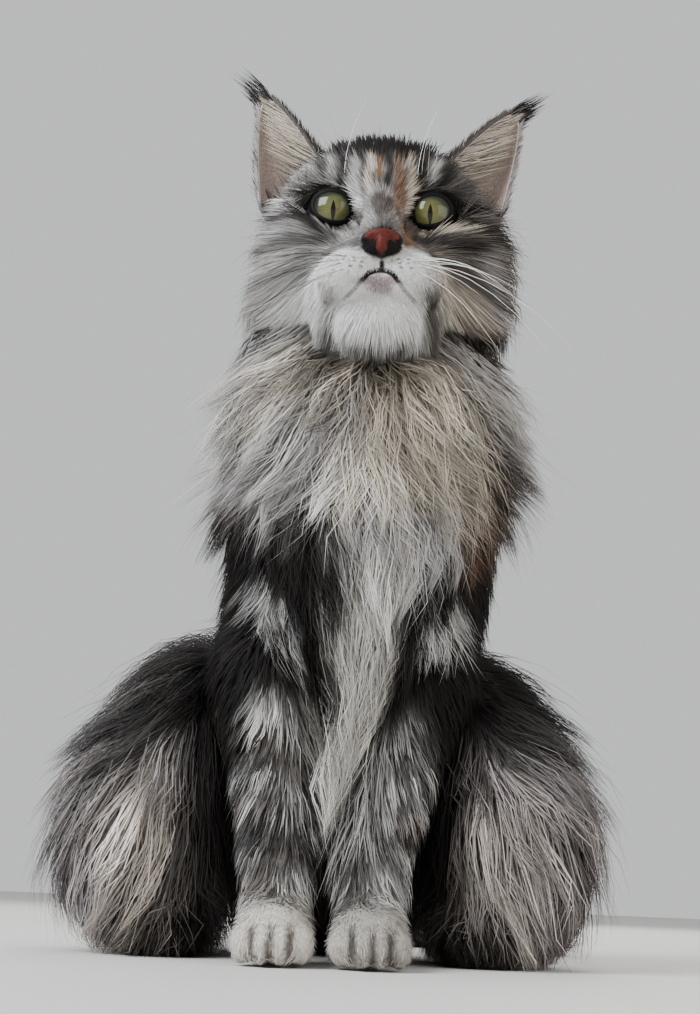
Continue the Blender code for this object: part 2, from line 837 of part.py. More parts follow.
def mouth_cutters():
    """Thin tubes along the split of the upper lip and the two arcs of the mouth, and the nostrils."""
    split = on_face([(0, -0.048, -0.0345), (0, -0.048, -0.039), (0, -0.046, MOUTH_HEIGHT)])
    cutters = [tube(split, 0.0008)]
    for _, side in SIDES:
        arc = [(0, -0.046, MOUTH_HEIGHT)]
        for share in (0.33, 0.67, 1.0):
            drop = MOUTH_DROP * math.sin(share * math.pi * 0.55)
            arc.append((side * MOUTH_HALF_WIDTH * share, -0.046 + 0.020 * share**2, MOUTH_HEIGHT - drop))
        cutters.append(tube(on_face(arc), 0.0010))
        nostril = [Vector((side * 0.0042, y, -0.0285 - z)) for y, z in ((-0.050, 0), (-0.0465, 0), (-0.0435, 0))]
        cutters.append(tube(nostril, 0.0013))
    return cutters


def build_eye(name, side):
    bm = bmesh.new()
    place = head_place() @ Matrix.Translation((side * EYE_SPACING / 2, EYE_FORWARD, 0))
    place = place @ Matrix.Rotation(math.radians(90), 4, "X")
    bmesh.ops.create_uvsphere(bm, u_segments=14, v_segments=8, radius=EYE_RADIUS, matrix=place)
    bmesh.ops.triangulate(bm, faces=bm.faces[:])
    mesh = bpy.data.meshes.new(name)
    bm.to_mesh(mesh)
    bm.free()
    return add_object(name, mesh)


def paint(obj, finish):
    """Gives the object its own material."""
    colour, roughness = FINISHES[finish]
    material = bpy.data.materials.new(obj.name)
    material.use_nodes = True
    shader = material.node_tree.nodes["Principled BSDF"]
    shader.inputs["Base Color"].default_value = (*colour, 1)
    shader.inputs["Roughness"].default_value = roughness
    obj.data.materials.clear()
    obj.data.materials.append(material)


def boxes_meet(one, other):
    boxes = [np.array([v.co for v in mesh.vertices]) for mesh in (one, other)]
    low = np.maximum(boxes[0].min(0), boxes[1].min(0))
    high = np.minimum(boxes[0].max(0), boxes[1].max(0))
    return bool((low - 2 * GAP < high).all())


def finish_node(obj, locks, finish, cutters, grooves=()):
    """Joins the locks to the node, cuts it clear of the nodes made before and keeps its largest body."""
    cut_flat(obj, (0, 0, 0), (0, 0, -1))
    combine(obj, grooves, "DIFFERENCE")
    clear = [mesh for mesh in cutters if any(boxes_meet(piece.data, mesh) for piece in [obj, *locks])]
    cutters += [grown(piece) for piece in [obj, *locks]]
    combine(obj, locks, "UNION")
    combine(obj, [add_object("cutter", mesh.copy()) for mesh in clear], "DIFFERENCE")
    keep_largest(obj)
    part_touches(obj)
    paint(obj, finish)
    obj.location = MIDDLE_SHIFT


def main():
    clear_scene()
    cutters = []
    for name, side in SIDES:
        finish_node(build_eye("eye_" + name, side), [], "iris", cutters)
        finish_node(build_ear("ear_" + name, side), grow_ear(side), "silver", cutters)
    head = core("head", head_forms(), *CORES["head"])
    locks = [lock for _, side in SIDES for lock in grow_cheek(head, side) + [build_lids(side)]]
    finish_node(head, locks, "silver", cutters, mouth_cutters())
    neck = core("neck", neck_forms(), *CORES["neck"])
    finish_node(neck, grow_ruff(neck), "pale", cutters)
    for name, side in SIDES:
        forepaw = core("forepaw_" + name, forepaw_forms(side), *CORES["forepaw"])
        finish_node(forepaw, [], "pale", cutters)
        foreleg = core("foreleg_" + name, foreleg_forms(side), *CORES["foreleg"])
        finish_node(foreleg, grow_foreleg(foreleg, side), "silver", cutters)
        hindfoot = core("hindfoot_" + name, hindfoot_forms(side), *CORES["hindfoot"])
        finish_node(hindfoot, [], "dark", cutters)
        hindleg = core("hindleg_" + name, hindleg_forms(side), *CORES["hindleg"])
        finish_node(hindleg, grow_hindleg(hindleg, side), "silver", cutters)
    for length, name in reversed(list(enumerate(TAIL_LENGTHS))):
        tail = core(name, tail_forms(length), *CORES["tail"])
        finish_node(tail, grow_tail(tail, length), "dark", cutters)
    torso = core("torso", torso_forms(), *CORES["torso"])
    finish_node(torso, grow_torso(torso), "dark", cutters)
    for mesh in cutters:
        bpy.data.meshes.remove(mesh)


main()
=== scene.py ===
"""The skin, coat, face and colours of a sitting long-haired cat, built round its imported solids.

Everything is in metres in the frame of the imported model: the cat faces -Y, +X is its left side
and the floor is z = 0. Forms are written in the cat's own layout and carried over by PLACE.
"""

import math
from contextlib import contextmanager

import bmesh
import bpy
import numpy as np
from mathutils import Euler, Matrix, Vector
from mathutils.kdtree import KDTree


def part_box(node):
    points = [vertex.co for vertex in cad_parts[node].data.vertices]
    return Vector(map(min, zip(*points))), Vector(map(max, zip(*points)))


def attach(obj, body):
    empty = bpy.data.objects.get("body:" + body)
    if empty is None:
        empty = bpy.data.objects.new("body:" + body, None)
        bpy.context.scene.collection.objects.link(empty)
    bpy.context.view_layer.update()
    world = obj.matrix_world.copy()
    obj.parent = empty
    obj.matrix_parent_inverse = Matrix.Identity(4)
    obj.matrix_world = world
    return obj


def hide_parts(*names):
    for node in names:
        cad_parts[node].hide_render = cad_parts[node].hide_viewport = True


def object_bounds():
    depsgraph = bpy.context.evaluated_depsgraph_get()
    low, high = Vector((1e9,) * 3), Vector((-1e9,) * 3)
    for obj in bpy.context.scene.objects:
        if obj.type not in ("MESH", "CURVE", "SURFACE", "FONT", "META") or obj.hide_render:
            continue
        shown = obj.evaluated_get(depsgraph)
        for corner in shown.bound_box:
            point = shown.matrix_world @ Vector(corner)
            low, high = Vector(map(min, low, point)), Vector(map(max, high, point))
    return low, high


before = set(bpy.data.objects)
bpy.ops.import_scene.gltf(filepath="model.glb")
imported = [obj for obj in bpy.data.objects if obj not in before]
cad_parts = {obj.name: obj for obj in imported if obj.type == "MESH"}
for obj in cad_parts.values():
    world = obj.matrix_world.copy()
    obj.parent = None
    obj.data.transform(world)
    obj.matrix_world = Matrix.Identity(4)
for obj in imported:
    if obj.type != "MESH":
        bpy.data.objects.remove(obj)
cad_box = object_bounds()

SIDES = (("right", -1), ("left", 1))

# Driving dimensions, the same as the solids'
EYE_HEIGHT = 0.3625
EYE_SPACING = 0.049
EYE_RADIUS = 0.0115
EYE_FORWARD = -0.0015
BALL_RADIUS = 0.0128  # the ball behind the lids, larger than what shows of it
BALL_MIDDLE = EYE_FORWARD + BALL_RADIUS - EYE_RADIUS + 0.0006
LID_HALF_WIDTH = 0.0108
LID_HALF_HEIGHT = 0.0082
MOUTH_HALF_WIDTH = 0.0155
MOUTH_HEIGHT = -0.0400
MOUTH_DROP = 0.0058
HEAD_X = 0.0150
HEAD_Y = -0.015
HEAD_PITCH = math.radians(10)
CHEST_X = 0.0135
CHEST_HEIGHT = 0.213
CHEST_HALF_WIDTH = 0.057
RUMP_Y = 0.150
RUMP_HALF_WIDTH = 0.080
THIGH_X = 0.078
LEG_X = 0.0215
PAW_WIDTH = 0.040
TOE_SPREAD = PAW_WIDTH / 2 - 0.0075  # from the middle of a forepaw to its outer toes
ELBOW_SPREAD = 0.036
ELBOW_Y = 0.062
ELBOW_HEIGHT = 0.128
WRIST_Y = 0.022
WRIST_HEIGHT = 0.042
EAR_LENGTH = 0.060
EAR_BASE_RADIUS = 0.0215
TAIL_RADIUS = 0.019
TAIL_POINTS = (
    (0.000, 0.205),
    (-0.030, 0.258),
    (-0.034, 0.305),
    (0.006, 0.336),
    (0.060, 0.340),
    (0.108, 0.316),
    (0.140, 0.276),
)

# How far the skin lies inside the solids' cores
SKIN_DEPTH = {
    "head": 0.0015,
    "neck": 0.010,
    "torso": 0.009,
    "foreleg": 0.003,
    "forepaw": 0.0012,
    "hindleg": 0.010,
    "hindfoot": 0.002,
    "tail": 0.007,
}
SKIN_VOXEL = 0.003
FLOOR_GAP = 0.0004
PATCH = 0.003  # the width of a tuft's patch on the unwrap
EAR_RISE = 0.004  # what rises more than this from the head is an ear

# Colours of the coat and the face, as linear light
WHITE = (0.88, 0.87, 0.85)
SILVER = (0.40, 0.385, 0.375)
GREY = (0.110, 0.102, 0.098)
DARK = (0.0060, 0.0045, 0.0040)
BROWN = (0.036, 0.024, 0.017)
CREAM = (0.54, 0.465, 0.375)
GINGER = (0.185, 0.098, 0.048)
STREAK = (0.58, 0.55, 0.51)
LILAC = (0.30, 0.21, 0.225)
NOSE_RED = (0.085, 0.014, 0.009)
EAR_SKIN = (0.60, 0.475, 0.42)


# Forms: ellipsoids and tapered rods, measured from their surfaces


def ball(centre, semi, turn=(0, 0, 0), blend=0.012):
    spin = np.array(Euler([math.radians(a) for a in turn]).to_matrix())
    return {"centre": np.array(centre, float), "semi": np.array(semi, float), "spin": spin, "blend": blend}


def rod(start, end, start_radius, end_radius, blend=0.012):
    return {
        "start": np.array(start, float),
        "end": np.array(end, float),
        "radii": (start_radius, end_radius),
        "blend": blend,
    }


def moved(form, matrix, depth=0.0):
    """The form carried by a rigid matrix, with its surface drawn in by a depth."""
    made = dict(form)
    turn, shift = np.array(matrix.to_3x3()), np.array(matrix.translation)
    if "semi" in form:
        made["centre"] = turn @ form["centre"] + shift
        made["spin"] = turn @ form["spin"]
        made["semi"] = form["semi"] - depth
    else:
        made["start"], made["end"] = (turn @ form[key] + shift for key in ("start", "end"))
        made["radii"] = tuple(radius - depth for radius in form["radii"])
    return made


def form_distance(form, points):
    if "semi" in form:
        local = (points - form["centre"]) @ form["spin"]
        near = np.linalg.norm(local / form["semi"], axis=1) + 1e-9
        steep = np.linalg.norm(local / form["semi"] ** 2, axis=1) + 1e-9
        return near * (near - 1) / steep
    along = form["end"] - form["start"]
    share = np.clip((points - form["start"]) @ along / (along @ along), 0, 1)
    radius = form["radii"][0] + share * (form["radii"][1] - form["radii"][0])
    return np.linalg.norm(points - form["start"] - share[:, None] * along, axis=1) - radius


def blended(one, other, blend):
    near = np.maximum(blend - np.abs(one - other), 0) / blend
    return np.minimum(one, other) - near * near * blend / 4


def carved(total, hollow, blend):
    """The distance outside what is left when a hollow is taken out."""
    return -blended(-total, hollow, blend)


def smooth_distance(forms, points):
    """How far each point is outside the smooth union of the forms."""
    total = form_distance(forms[0], points)
    for form in forms[1:]:
        total = blended(total, form_distance(form, points), form["blend"])
    return total


CORNERS = np.array([(1, 1, 1), (1, -1, -1), (-1, 1, -1), (-1, -1, 1)]) / math.sqrt(3)


SLOPE_STEP = 0.0006


def slope_and_distance(distance, points):
    """The outward direction and the distance at each point, from four places round it."""
    values = [distance(points + corner * SLOPE_STEP) for corner in CORNERS]
    slope = sum(value[:, None] * corner for value, corner in zip(values, CORNERS))
    return unit(slope), sum(values) / 4


def settle(distance, points, rounds=5):
    for _ in range(rounds):
        out, far = slope_and_distance(distance, points)
        points = points - out * far[:, None]
    return points


def unit(vectors):
    return vectors / (np.linalg.norm(vectors, axis=-1, keepdims=True) + 1e-12)


def ease(share):
    share = np.clip(share, 0, 1)
    return share * share * (3 - 2 * share)


# Forms of the cat


def head_place():
    return Matrix.Translation((HEAD_X, HEAD_Y, EYE_HEIGHT)) @ Matrix.Rotation(HEAD_PITCH, 4, "X")


def head_forms():
    forms = [
        ball((0, 0.034, 0.010), (0.048, 0.044, 0.033)),
        ball((0, 0.012, 0.012), (0.036, 0.022, 0.025)),
        ball((0, 0.022, -0.026), (0.040, 0.034, 0.026)),
        rod((0, -0.006, 0.006), (0, -0.034, -0.021), 0.0125, 0.0090, blend=0.010),
        ball((0, -0.012, -0.036), (0.031, 0.027, 0.021)),
        ball((0, 0.000, -0.053), (0.027, 0.030, 0.016)),
        ball((0, -0.026, -0.060), (0.019, 0.013, 0.011), blend=0.008),
        ball((0, -0.041, -0.0275), (0.0100, 0.0065, 0.0075), blend=0.004),
    ]
    for _, side in SIDES:
        forms.append(ball((side * 0.031, 0.022, -0.018), (0.026, 0.032, 0.030)))
        forms.append(ball((side * 0.0145, -0.031, -0.041), (0.0175, 0.0165, 0.0125), blend=0.005))
        forms.append(ball((side * 0.029, 0.008, 0.014), (0.015, 0.012, 0.009), blend=0.008))
    return [moved(form, head_place()) for form in forms]


def neck_forms():
    return [
        rod((CHEST_X, 0.052, 0.262), (HEAD_X, 0.034, 0.335), 0.058, 0.046),
        ball((CHEST_X, 0.030, 0.262), (0.050, 0.040, 0.045)),
    ]


def torso_forms():
    return [
        ball((CHEST_X, 0.056, CHEST_HEIGHT - 0.003), (CHEST_HALF_WIDTH, 0.056, 0.076), (12, 0, 0), 0.03),
        ball((CHEST_X, 0.080, 0.252), (0.048, 0.046, 0.056), (20, 0, 0), 0.04),
        ball((0.006, 0.108, 0.160), (0.064, 0.070, 0.098), (22, 0, 0), 0.05),
        ball((0, RUMP_Y, 0.076), (RUMP_HALF_WIDTH, 0.080, 0.079), (0, 0, 0), 0.05),
        ball((0.002, 0.040, 0.150), (0.036, 0.028, 0.052), (0, 0, 0), 0.02),
    ]


def foreleg_forms(side):
    shoulder = np.array((CHEST_X + side * 0.035, 0.054, 0.210))
    elbow = np.array((0.004 + side * ELBOW_SPREAD, ELBOW_Y, ELBOW_HEIGHT))
    wrist = np.array((side * LEG_X, WRIST_Y, WRIST_HEIGHT))
    return [
        rod(shoulder, elbow, 0.032, 0.027, blend=0.03),
        rod(elbow + (0, -0.020, 0.006), wrist, 0.027, 0.0180, blend=0.02),
        rod(wrist, wrist + (0, -0.004, -0.016), 0.0180, 0.0165, blend=0.006),
    ]


def toe_forms(middle, spread, set_back, semi):
    """Four toes side by side, the outer two set back a little."""
    x, y, height = middle
    forms = []
    for step in range(4):
        share = step / 3 * 2 - 1
        centre = (x + share * spread, y + set_back * share * share, height)
        forms.append(ball(centre, semi, (12, 0, 0), 0.0022))
    return forms


def forepaw_forms(side):
    paw = ball((side * LEG_X, -0.002, 0.0135), (0.0180, 0.026, 0.0145), (0, 0, 0), 0.006)
    return [paw] + toe_forms((side * LEG_X, -0.024, 0.0095), TOE_SPREAD, 0.008, (0.0068, 0.0120, 0.0100))


def hindleg_forms(side):
    return [
        ball((side * THIGH_X, 0.112, 0.094), (0.043, 0.078, 0.078), (14, side * -14, side * 8), 0.02),
        ball((side * 0.091, 0.070, 0.056), (0.039, 0.054, 0.052), (0, 0, side * 10), 0.03),
    ]


def hindfoot_forms(side):
    sole = rod((side * 0.084, 0.156, 0.016), (side * 0.075, 0.062, 0.013), 0.0165, 0.0150, 0.006)
    return [sole] + toe_forms((side * 0.075, 0.040, 0.0092), 0.0130, 0.006, (0.0068, 0.0125, 0.0098))


def tail_point(share):
    """A point of the tail's middle line and the radius there."""
    place = share * (len(TAIL_POINTS) - 1)
    index = min(int(place), len(TAIL_POINTS) - 2)
    part = place - index
    before, here, there, after = (
        Vector(TAIL_POINTS[min(max(k, 0), len(TAIL_POINTS) - 1)]) for k in range(index - 1, index + 3)
    )
    curve = here * 2 + (there - before) * part + (before * 2 - here * 5 + there * 4 - after) * part**2
    curve += (here * 3 - before - there * 3 + after) * part**3
    radius = TAIL_RADIUS * (1.15 - 0.55 * share)
    lift = radius * 0.95 + 0.022 * max(1 - share / 0.15, 0) ** 2
    return Vector((curve.x / 2, curve.y / 2, lift)), radius


TAIL_STEPS = 60
TAIL_LINE = np.array([tail_point(step / TAIL_STEPS)[0] for step in range(TAIL_STEPS + 1)])
TAIL_RODS = 12


def nearest_on_tail(body):
    """The step of the tail's middle line that is nearest to each point."""
    return np.linalg.norm(body[:, None] - TAIL_LINE[None], axis=2).argmin(1)


def tail_forms():
    forms = []
    for step in range(TAIL_RODS):
        start, start_radius = tail_point(step / TAIL_RODS)
        end, end_radius = tail_point((step + 1) / TAIL_RODS)
        forms.append(rod(start, end, start_radius, end_radius, blend=0.01))
    return forms


def carried_place():
    """From the cat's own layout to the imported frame, found from where an eye is."""
    low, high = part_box("eye_left")
    eye = head_place() @ Vector((EYE_SPACING / 2, EYE_FORWARD, 0))
    return Matrix.Translation((Vector(low) + Vector(high)) / 2 - eye)


PLACE = carried_place()
HEAD = PLACE @ head_place()
HEAD_TURN = np.array(HEAD.to_3x3())


def skin_of(forms, zone):
    return [moved(form, PLACE, SKIN_DEPTH[zone]) for form in forms]


BODY = {
    "head": skin_of(head_forms(), "head"),
    "neck": skin_of(neck_forms(), "neck"),
    "torso": skin_of(torso_forms(), "torso"),
    "tail": skin_of(tail_forms(), "tail"),
}
for side_name, side_sign in SIDES:
    BODY["foreleg_" + side_name] = skin_of(foreleg_forms(side_sign), "foreleg")
    BODY["forepaw_" + side_name] = skin_of(forepaw_forms(side_sign), "forepaw")
    BODY["hindleg_" + side_name] = skin_of(hindleg_forms(side_sign), "hindleg")
    BODY["hindfoot_" + side_name] = skin_of(hindfoot_forms(side_sign), "hindfoot")
ALL_FORMS = [form for forms in BODY.values() for form in forms]


def to_head(points):
    """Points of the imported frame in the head's own frame, whose origin is between the eyes."""
    inverse = np.array(HEAD.inverted())
    return points @ inverse[:3, :3].T + inverse[:3, 3]


def from_head(points):
    matrix = np.array(HEAD)
    return np.asarray(points, float) @ matrix[:3, :3].T + matrix[:3, 3]


def to_body(points):
    """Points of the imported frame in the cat's own layout."""
    return points - np.array(PLACE.translation)


# The face


def polyline_distance(points, line, closed=False):
    """How far each point is from a line through the given points."""
    line = np.asarray(line, float)
    ends = np.roll(line, -1, axis=0) if closed else line[1:]
    best = np.full(len(points), 1.0)
    for start, end in zip(line if closed else line[:-1], ends):
        along = end - start
        share = np.clip((points - start) @ along / (along @ along + 1e-15), 0, 1)
        best = np.minimum(best, np.linalg.norm(points - start - share[:, None] * along, axis=1))
    return best


def lid_point(side, angle, grow, raised):
    """A point beside the opening of an eye, in the head's frame: grow is its distance out from the
    opening's edge and raised its height over the eyeball; the inner corner is drawn out to the nose."""
    inner = max(-math.cos(angle), 0) ** 8
    x = (LID_HALF_WIDTH + grow) * math.cos(angle) - 0.0026 * inner
    z = (LID_HALF_HEIGHT + grow) * math.sin(angle) * (1 - 0.2 * inner) + 0.12 * x - 0.0010 * inner
    reach = BALL_RADIUS + raised
    depth = math.sqrt(max(reach**2 - x * x - z * z, 0.0010**2))
    return side * (EYE_SPACING / 2 + x), BALL_MIDDLE - depth, z


def lid_ring(side, grow, raised, steps=24):
    return np.array([lid_point(side, math.tau * step / steps, grow, raised) for step in range(steps)])


def mouth_arc(side):
    """The line of the mouth from its middle to a corner, in the head's frame, before it is settled."""
    arc = []
    for step in range(8):
        share = step / 7
        drop = MOUTH_DROP * math.sin(share * math.pi * 0.5)
        arc.append((side * MOUTH_HALF_WIDTH * share, -0.046 + 0.012 * share**2, MOUTH_HEIGHT - drop))
    return np.array(arc)


def on_skin(head_points):
    """Points of the head's frame brought onto the skin of the head, still in that frame."""
    world = settle(lambda p: smooth_distance(BODY["head"], p), from_head(head_points))
    return to_head(world)


LID_FLESH = 0.0034  # the radius of the rolls of flesh round the eyes
CUT_RADIUS = 0.0006  # of the line of the mouth and the split of the lip
CUT_BLEND = 0.0012
FLESH_RINGS = [lid_ring(side, LID_FLESH, -0.0030) for _, side in SIDES]
MOUTH_LINES = [on_skin(mouth_arc(side)) for _, side in SIDES]
LIP_SPLIT = on_skin(np.array([(0, -0.050, z) for z in (-0.0318, -0.035, -0.0380, MOUTH_HEIGHT)]))


def nose_share(local):
    """1 on the bare leather of the nose, 0 off it; the shape is wide above and narrow below."""
    down = np.clip((-0.0222 - local[:, 2]) / 0.0118, 0, 1)
    half = 0.0104 * (1 - 0.70 * down**1.4)
    inside = (half - np.abs(local[:, 0])) / 0.0010
    inside = np.minimum(inside, (-0.0215 - 0.0012 * np.abs(local[:, 0]) / 0.01 - local[:, 2]) / 0.0010)
    inside = np.minimum(inside, (local[:, 2] + 0.0345) / 0.0010)
    return np.clip(inside, 0, 1) * (local[:, 1] < -0.034)


def face_distance(points):
    """Distance outside the head with its lids, eye sockets, nostrils, split lip and mouth."""
    local = to_head(points)
    total = smooth_distance(BODY["head"] + BODY["neck"], points)
    for (_, side), ring, line in zip(SIDES, FLESH_RINGS, MOUTH_LINES):
        total = blended(total, polyline_distance(local, ring, closed=True) - LID_FLESH, 0.007)
        eye = local - (side * EYE_SPACING / 2, BALL_MIDDLE, 0)
        socket = np.linalg.norm(eye, axis=1) - (BALL_RADIUS + 0.0002)
        total = carved(total, socket, 0.0015)
        total = carved(total, polyline_distance(local, line[:6]) - CUT_RADIUS, CUT_BLEND)
    return carved(total, polyline_distance(local, LIP_SPLIT) - CUT_RADIUS, CUT_BLEND)


# The body's distance on a grid, for laying the long coat

GRID_STEP = 0.003
GRID_MARGIN = 0.020
FAR = 0.08  # the distance at places that no form reaches
REACH = 0.045  # how far round a form its distance counts
GROUP_BLEND = 0.010


def form_corners(form):
    if "semi" in form:
        half = form["semi"].max()
        return form["centre"] - half, form["centre"] + half
    radius = max(form["radii"])
    return np.minimum(form["start"], form["end"]) - radius, np.maximum(form["start"], form["end"]) + radius


def body_grid():
    """The distance outside the whole body at each point of a grid, and the axes of the grid."""
    low, high = (np.array(corner, float) for corner in cad_box)
    axes = [np.arange(low[k] - GRID_MARGIN, high[k] + GRID_MARGIN, GRID_STEP) for k in range(3)]
    shape = tuple(len(axis) for axis in axes)
    total = np.full(shape, FAR)
    for forms in BODY.values():
        group = np.full(shape, FAR)
        for form in forms:
            first, last = form_corners(form)
            spans = [(first[k] - REACH, last[k] + REACH) for k in range(3)]
            block = tuple(slice(*np.searchsorted(axis, span)) for axis, span in zip(axes, spans))
            places = np.meshgrid(*(axes[k][block[k]] for k in range(3)), indexing="ij")
            size = places[0].shape
            points = np.stack([place.ravel() for place in places], axis=1)
            far = form_distance(form, points).reshape(size)
            group[block] = blended(group[block], far, form["blend"])
        total = blended(total, group, GROUP_BLEND)
    return axes, total


GRID_AXES, BODY_GRID = body_grid()
GRID_LOW = np.array([axis[0] for axis in GRID_AXES])
GRID_SLOPES = np.gradient(BODY_GRID, GRID_STEP)


def sampled(grid, points):
    """A value of the grid between its points."""
    place = np.clip((points - GRID_LOW) / GRID_STEP, 0, np.array(grid.shape) - 1.001)
    index = place.astype(int)
    part = place - index
    value = 0
    for corner in range(8):
        step = np.array([corner & 1, corner >> 1 & 1, corner >> 2 & 1])
        weight = np.prod(np.where(step, part, 1 - part), axis=1)
        x, y, z = (index + step).T
        value = value + weight * grid[x, y, z]
    return value


def body_distance(points):
    return sampled(BODY_GRID, points)


def body_out(points):
    return unit(np.stack([sampled(slope, points) for slope in GRID_SLOPES], axis=1))


def head_distance(points):
    return smooth_distance(BODY["head"] + BODY["neck"], points)


# Making meshes


def add_object(name, mesh):
    obj = bpy.data.objects.new(name, mesh)
    bpy.context.scene.collection.objects.link(obj)
    return obj


def grid_faces(rows, columns, closed=False, first=0):
    """Faces of a net of points, in rows of columns from the first one, joined end to end where closed."""
    faces = []
    for row in range(rows - 1):
        for column in range(columns if closed else columns - 1):
            after = (column + 1) % columns
            here = first + row * columns
            there = here + columns
            faces.append((here + column, here + after, there + after, there + column))
    return faces


def mesh_of(name, points, faces, smooth=True):
    mesh = bpy.data.meshes.new(name)
    mesh.from_pydata([tuple(float(v) for v in p) for p in points], [], faces)
    mesh.update()
    if smooth:
        mesh.shade_smooth()
    return mesh


def points_of(mesh):
    flat = np.empty(len(mesh.vertices) * 3)
    mesh.vertices.foreach_get("co", flat)
    return flat.reshape(-1, 3)


def put_points(mesh, points):
    mesh.vertices.foreach_set("co", points.ravel())
    mesh.update()


def put_colours(mesh, colours):
    """Gives each vertex its colour of the coat."""
    layer = mesh.color_attributes.new("coat", "FLOAT_COLOR", "POINT")
    layer.data.foreach_set("color", np.concatenate((colours, np.ones((len(colours), 1))), axis=1).ravel())


def balls_of(form):
    """The form as ellipsoids: their middles, half-sizes and turns."""
    if "semi" in form:
        return [(form["centre"], form["semi"], form["spin"])]
    balls = []
    for share in np.linspace(0, 1, 6):
        radius = form["radii"][0] + share * (form["radii"][1] - form["radii"][0])
        centre = form["start"] + share * (form["end"] - form["start"])
        balls.append((centre, np.full(3, radius), np.eye(3)))
    return balls


def remeshed(name, forms, voxel):
    """One closed mesh near the surface of all the forms together."""
    bm = bmesh.new()
    for form in forms:
        for centre, semi, spin in balls_of(form):
            matrix = Matrix.Translation(centre) @ Matrix(spin.tolist()).to_4x4() @ Matrix.Diagonal((*semi, 1))
            bmesh.ops.create_icosphere(bm, subdivisions=4, radius=1, matrix=matrix)
    mesh = bpy.data.meshes.new(name)
    bm.to_mesh(mesh)
    bm.free()
    obj = add_object(name, mesh)
    modifier = obj.modifiers.new("remesh", "REMESH")
    modifier.mode = "VOXEL"
    modifier.voxel_size = voxel
    done = bpy.data.meshes.new_from_object(obj.evaluated_get(bpy.context.evaluated_depsgraph_get()))
    obj.modifiers.clear()
    obj.data = done
    bpy.data.meshes.remove(mesh)
    return obj


@contextmanager
def opened(obj):
    """The object's mesh, open for changes that go back into it."""
    bm = bmesh.new()
    bm.from_mesh(obj.data)
    yield bm
    bm.to_mesh(obj.data)
    bm.free()


def keep_largest(obj):
    """Keeps only the largest connected surface of the object."""
    with opened(obj) as bm:
        left, best = set(bm.verts), []
        while left:
            stack, part = [left.pop()], []
            while stack:
                vertex = stack.pop()
                part.append(vertex)
                for edge in vertex.link_edges:
                    other = edge.other_vert(vertex)
                    if other in left:
                        left.discard(other)
                        stack.append(other)
            if len(part) > len(best):
                best = part
        kept = set(best)
        bmesh.ops.delete(bm, geom=[v for v in bm.verts if v not in kept], context="VERTS")


def subdivide(obj, inside, rounds=1):
    """Splits the faces whose middles pass the test."""
    for _ in range(rounds):
        with opened(obj) as bm:
            faces = list(bm.faces)
            middles = np.array([face.calc_center_median() for face in faces])
            chosen = [faces[k] for k in np.flatnonzero(inside(middles))]
            edges = {edge for face in chosen for edge in face.edges}
            bmesh.ops.subdivide_edges(bm, edges=list(edges), cuts=1, use_grid_fill=True)


# Ears


def ear_frame(side):
    """The base of an ear and the directions of its height, open front and width, in the head's frame."""
    lean = 0.020 if side < 0 else 0.028
    base = Vector((side * 0.044, 0.036, 0.020))
    axis = Vector((side * lean, 0.002, 0.052)).normalized()
    front = Vector((side * 0.42, -0.9, 0))
    front = (front - axis * front.dot(axis)).normalized()
    return base, axis, front, axis.cross(front)


EAR_WALL = 0.0016
EAR_TIP_RADIUS = 0.0030
EAR_SINK = 0.006  # how far the foot of an ear goes down into the head


def ear_points(side, heights, shares, wall):
    """Points of the ear's cupped wall in the head's frame; shares run from one edge, -1, to the other, 1,
    and wall from the outer face, 0, to the inner, 1. Low down the edges draw in under the head's fur."""
    heights, shares = np.broadcast_arrays(np.asarray(heights, float), shares)
    base, axis, front, across = (np.array(v) for v in ear_frame(side))
    low = np.clip(1 - heights / 0.30, 0, 1)
    angle = np.radians(112 - 16 * heights - 40 * low**2) * shares
    wide = EAR_BASE_RADIUS * (1 - heights) ** 0.72 + EAR_TIP_RADIUS - wall * EAR_WALL * (1 - 0.45 * heights)
    rise = EAR_LENGTH * heights - EAR_SINK
    return (
        base
        + rise[..., None] * axis
        + (np.sin(angle) * wide)[..., None] * across
        - (np.cos(angle) * wide * 0.85)[..., None] * front
    )


def build_ear_wall(side):
    """A thin closed cup: the outer wall, the rim and the inner wall."""
    rows, columns = 26, 40
    points = []
    edge_to_edge = np.linspace(-1, 1, columns)
    for height in np.linspace(0, 1, rows):
        outer = ear_points(side, height, edge_to_edge, 0)
        inner = ear_points(side, height, -edge_to_edge * 0.985, 1)
        points += list(from_head(np.concatenate((outer, inner))))
    around = 2 * columns
    faces = grid_faces(rows, around, closed=True)
    last = (rows - 1) * around
    for column in range(columns - 1):
        across = around - 1 - column
        faces.append((last + column, last + column + 1, last + across - 1, last + across))
        faces.append((column + 1, column, across, across - 1))
    obj = add_object("ear wall", mesh_of("ear wall", points, faces))
    with opened(obj) as bm:
        bmesh.ops.recalc_face_normals(bm, faces=bm.faces[:])
    return obj


# The skin

FACE_FRONT = 0.020
FACE_LOW = -0.075
MUZZLE_LOW = (-0.024, -1, -0.058)
MUZZLE_HIGH = (0.024, -0.020, -0.018)


def by_face(points, margin):
    """Whether points of the skin belong to the face: in front, above the throat and near the head."""
    local = to_head(points)
    return (local[:, 1] < FACE_FRONT) & (local[:, 2] > FACE_LOW) & (head_distance(points) < margin)


def by_muzzle(points):
    local = to_head(points)
    return ((local > MUZZLE_LOW) & (local < MUZZLE_HIGH)).all(axis=1)


def join_to(obj, parts):
    """Makes the parts one object with the given one, which stays the active one."""
    bpy.ops.object.select_all(action="DESELECT")
    for part in parts + [obj]:
        part.select_set(True)
    bpy.context.view_layer.objects.active = obj
    bpy.ops.object.join()


def unwrap_active():
    bpy.ops.object.mode_set(mode="EDIT")
    bpy.ops.mesh.select_all(action="SELECT")
    bpy.ops.uv.smart_project(angle_limit=math.radians(66), island_margin=0.002)
    bpy.ops.object.mode_set(mode="OBJECT")


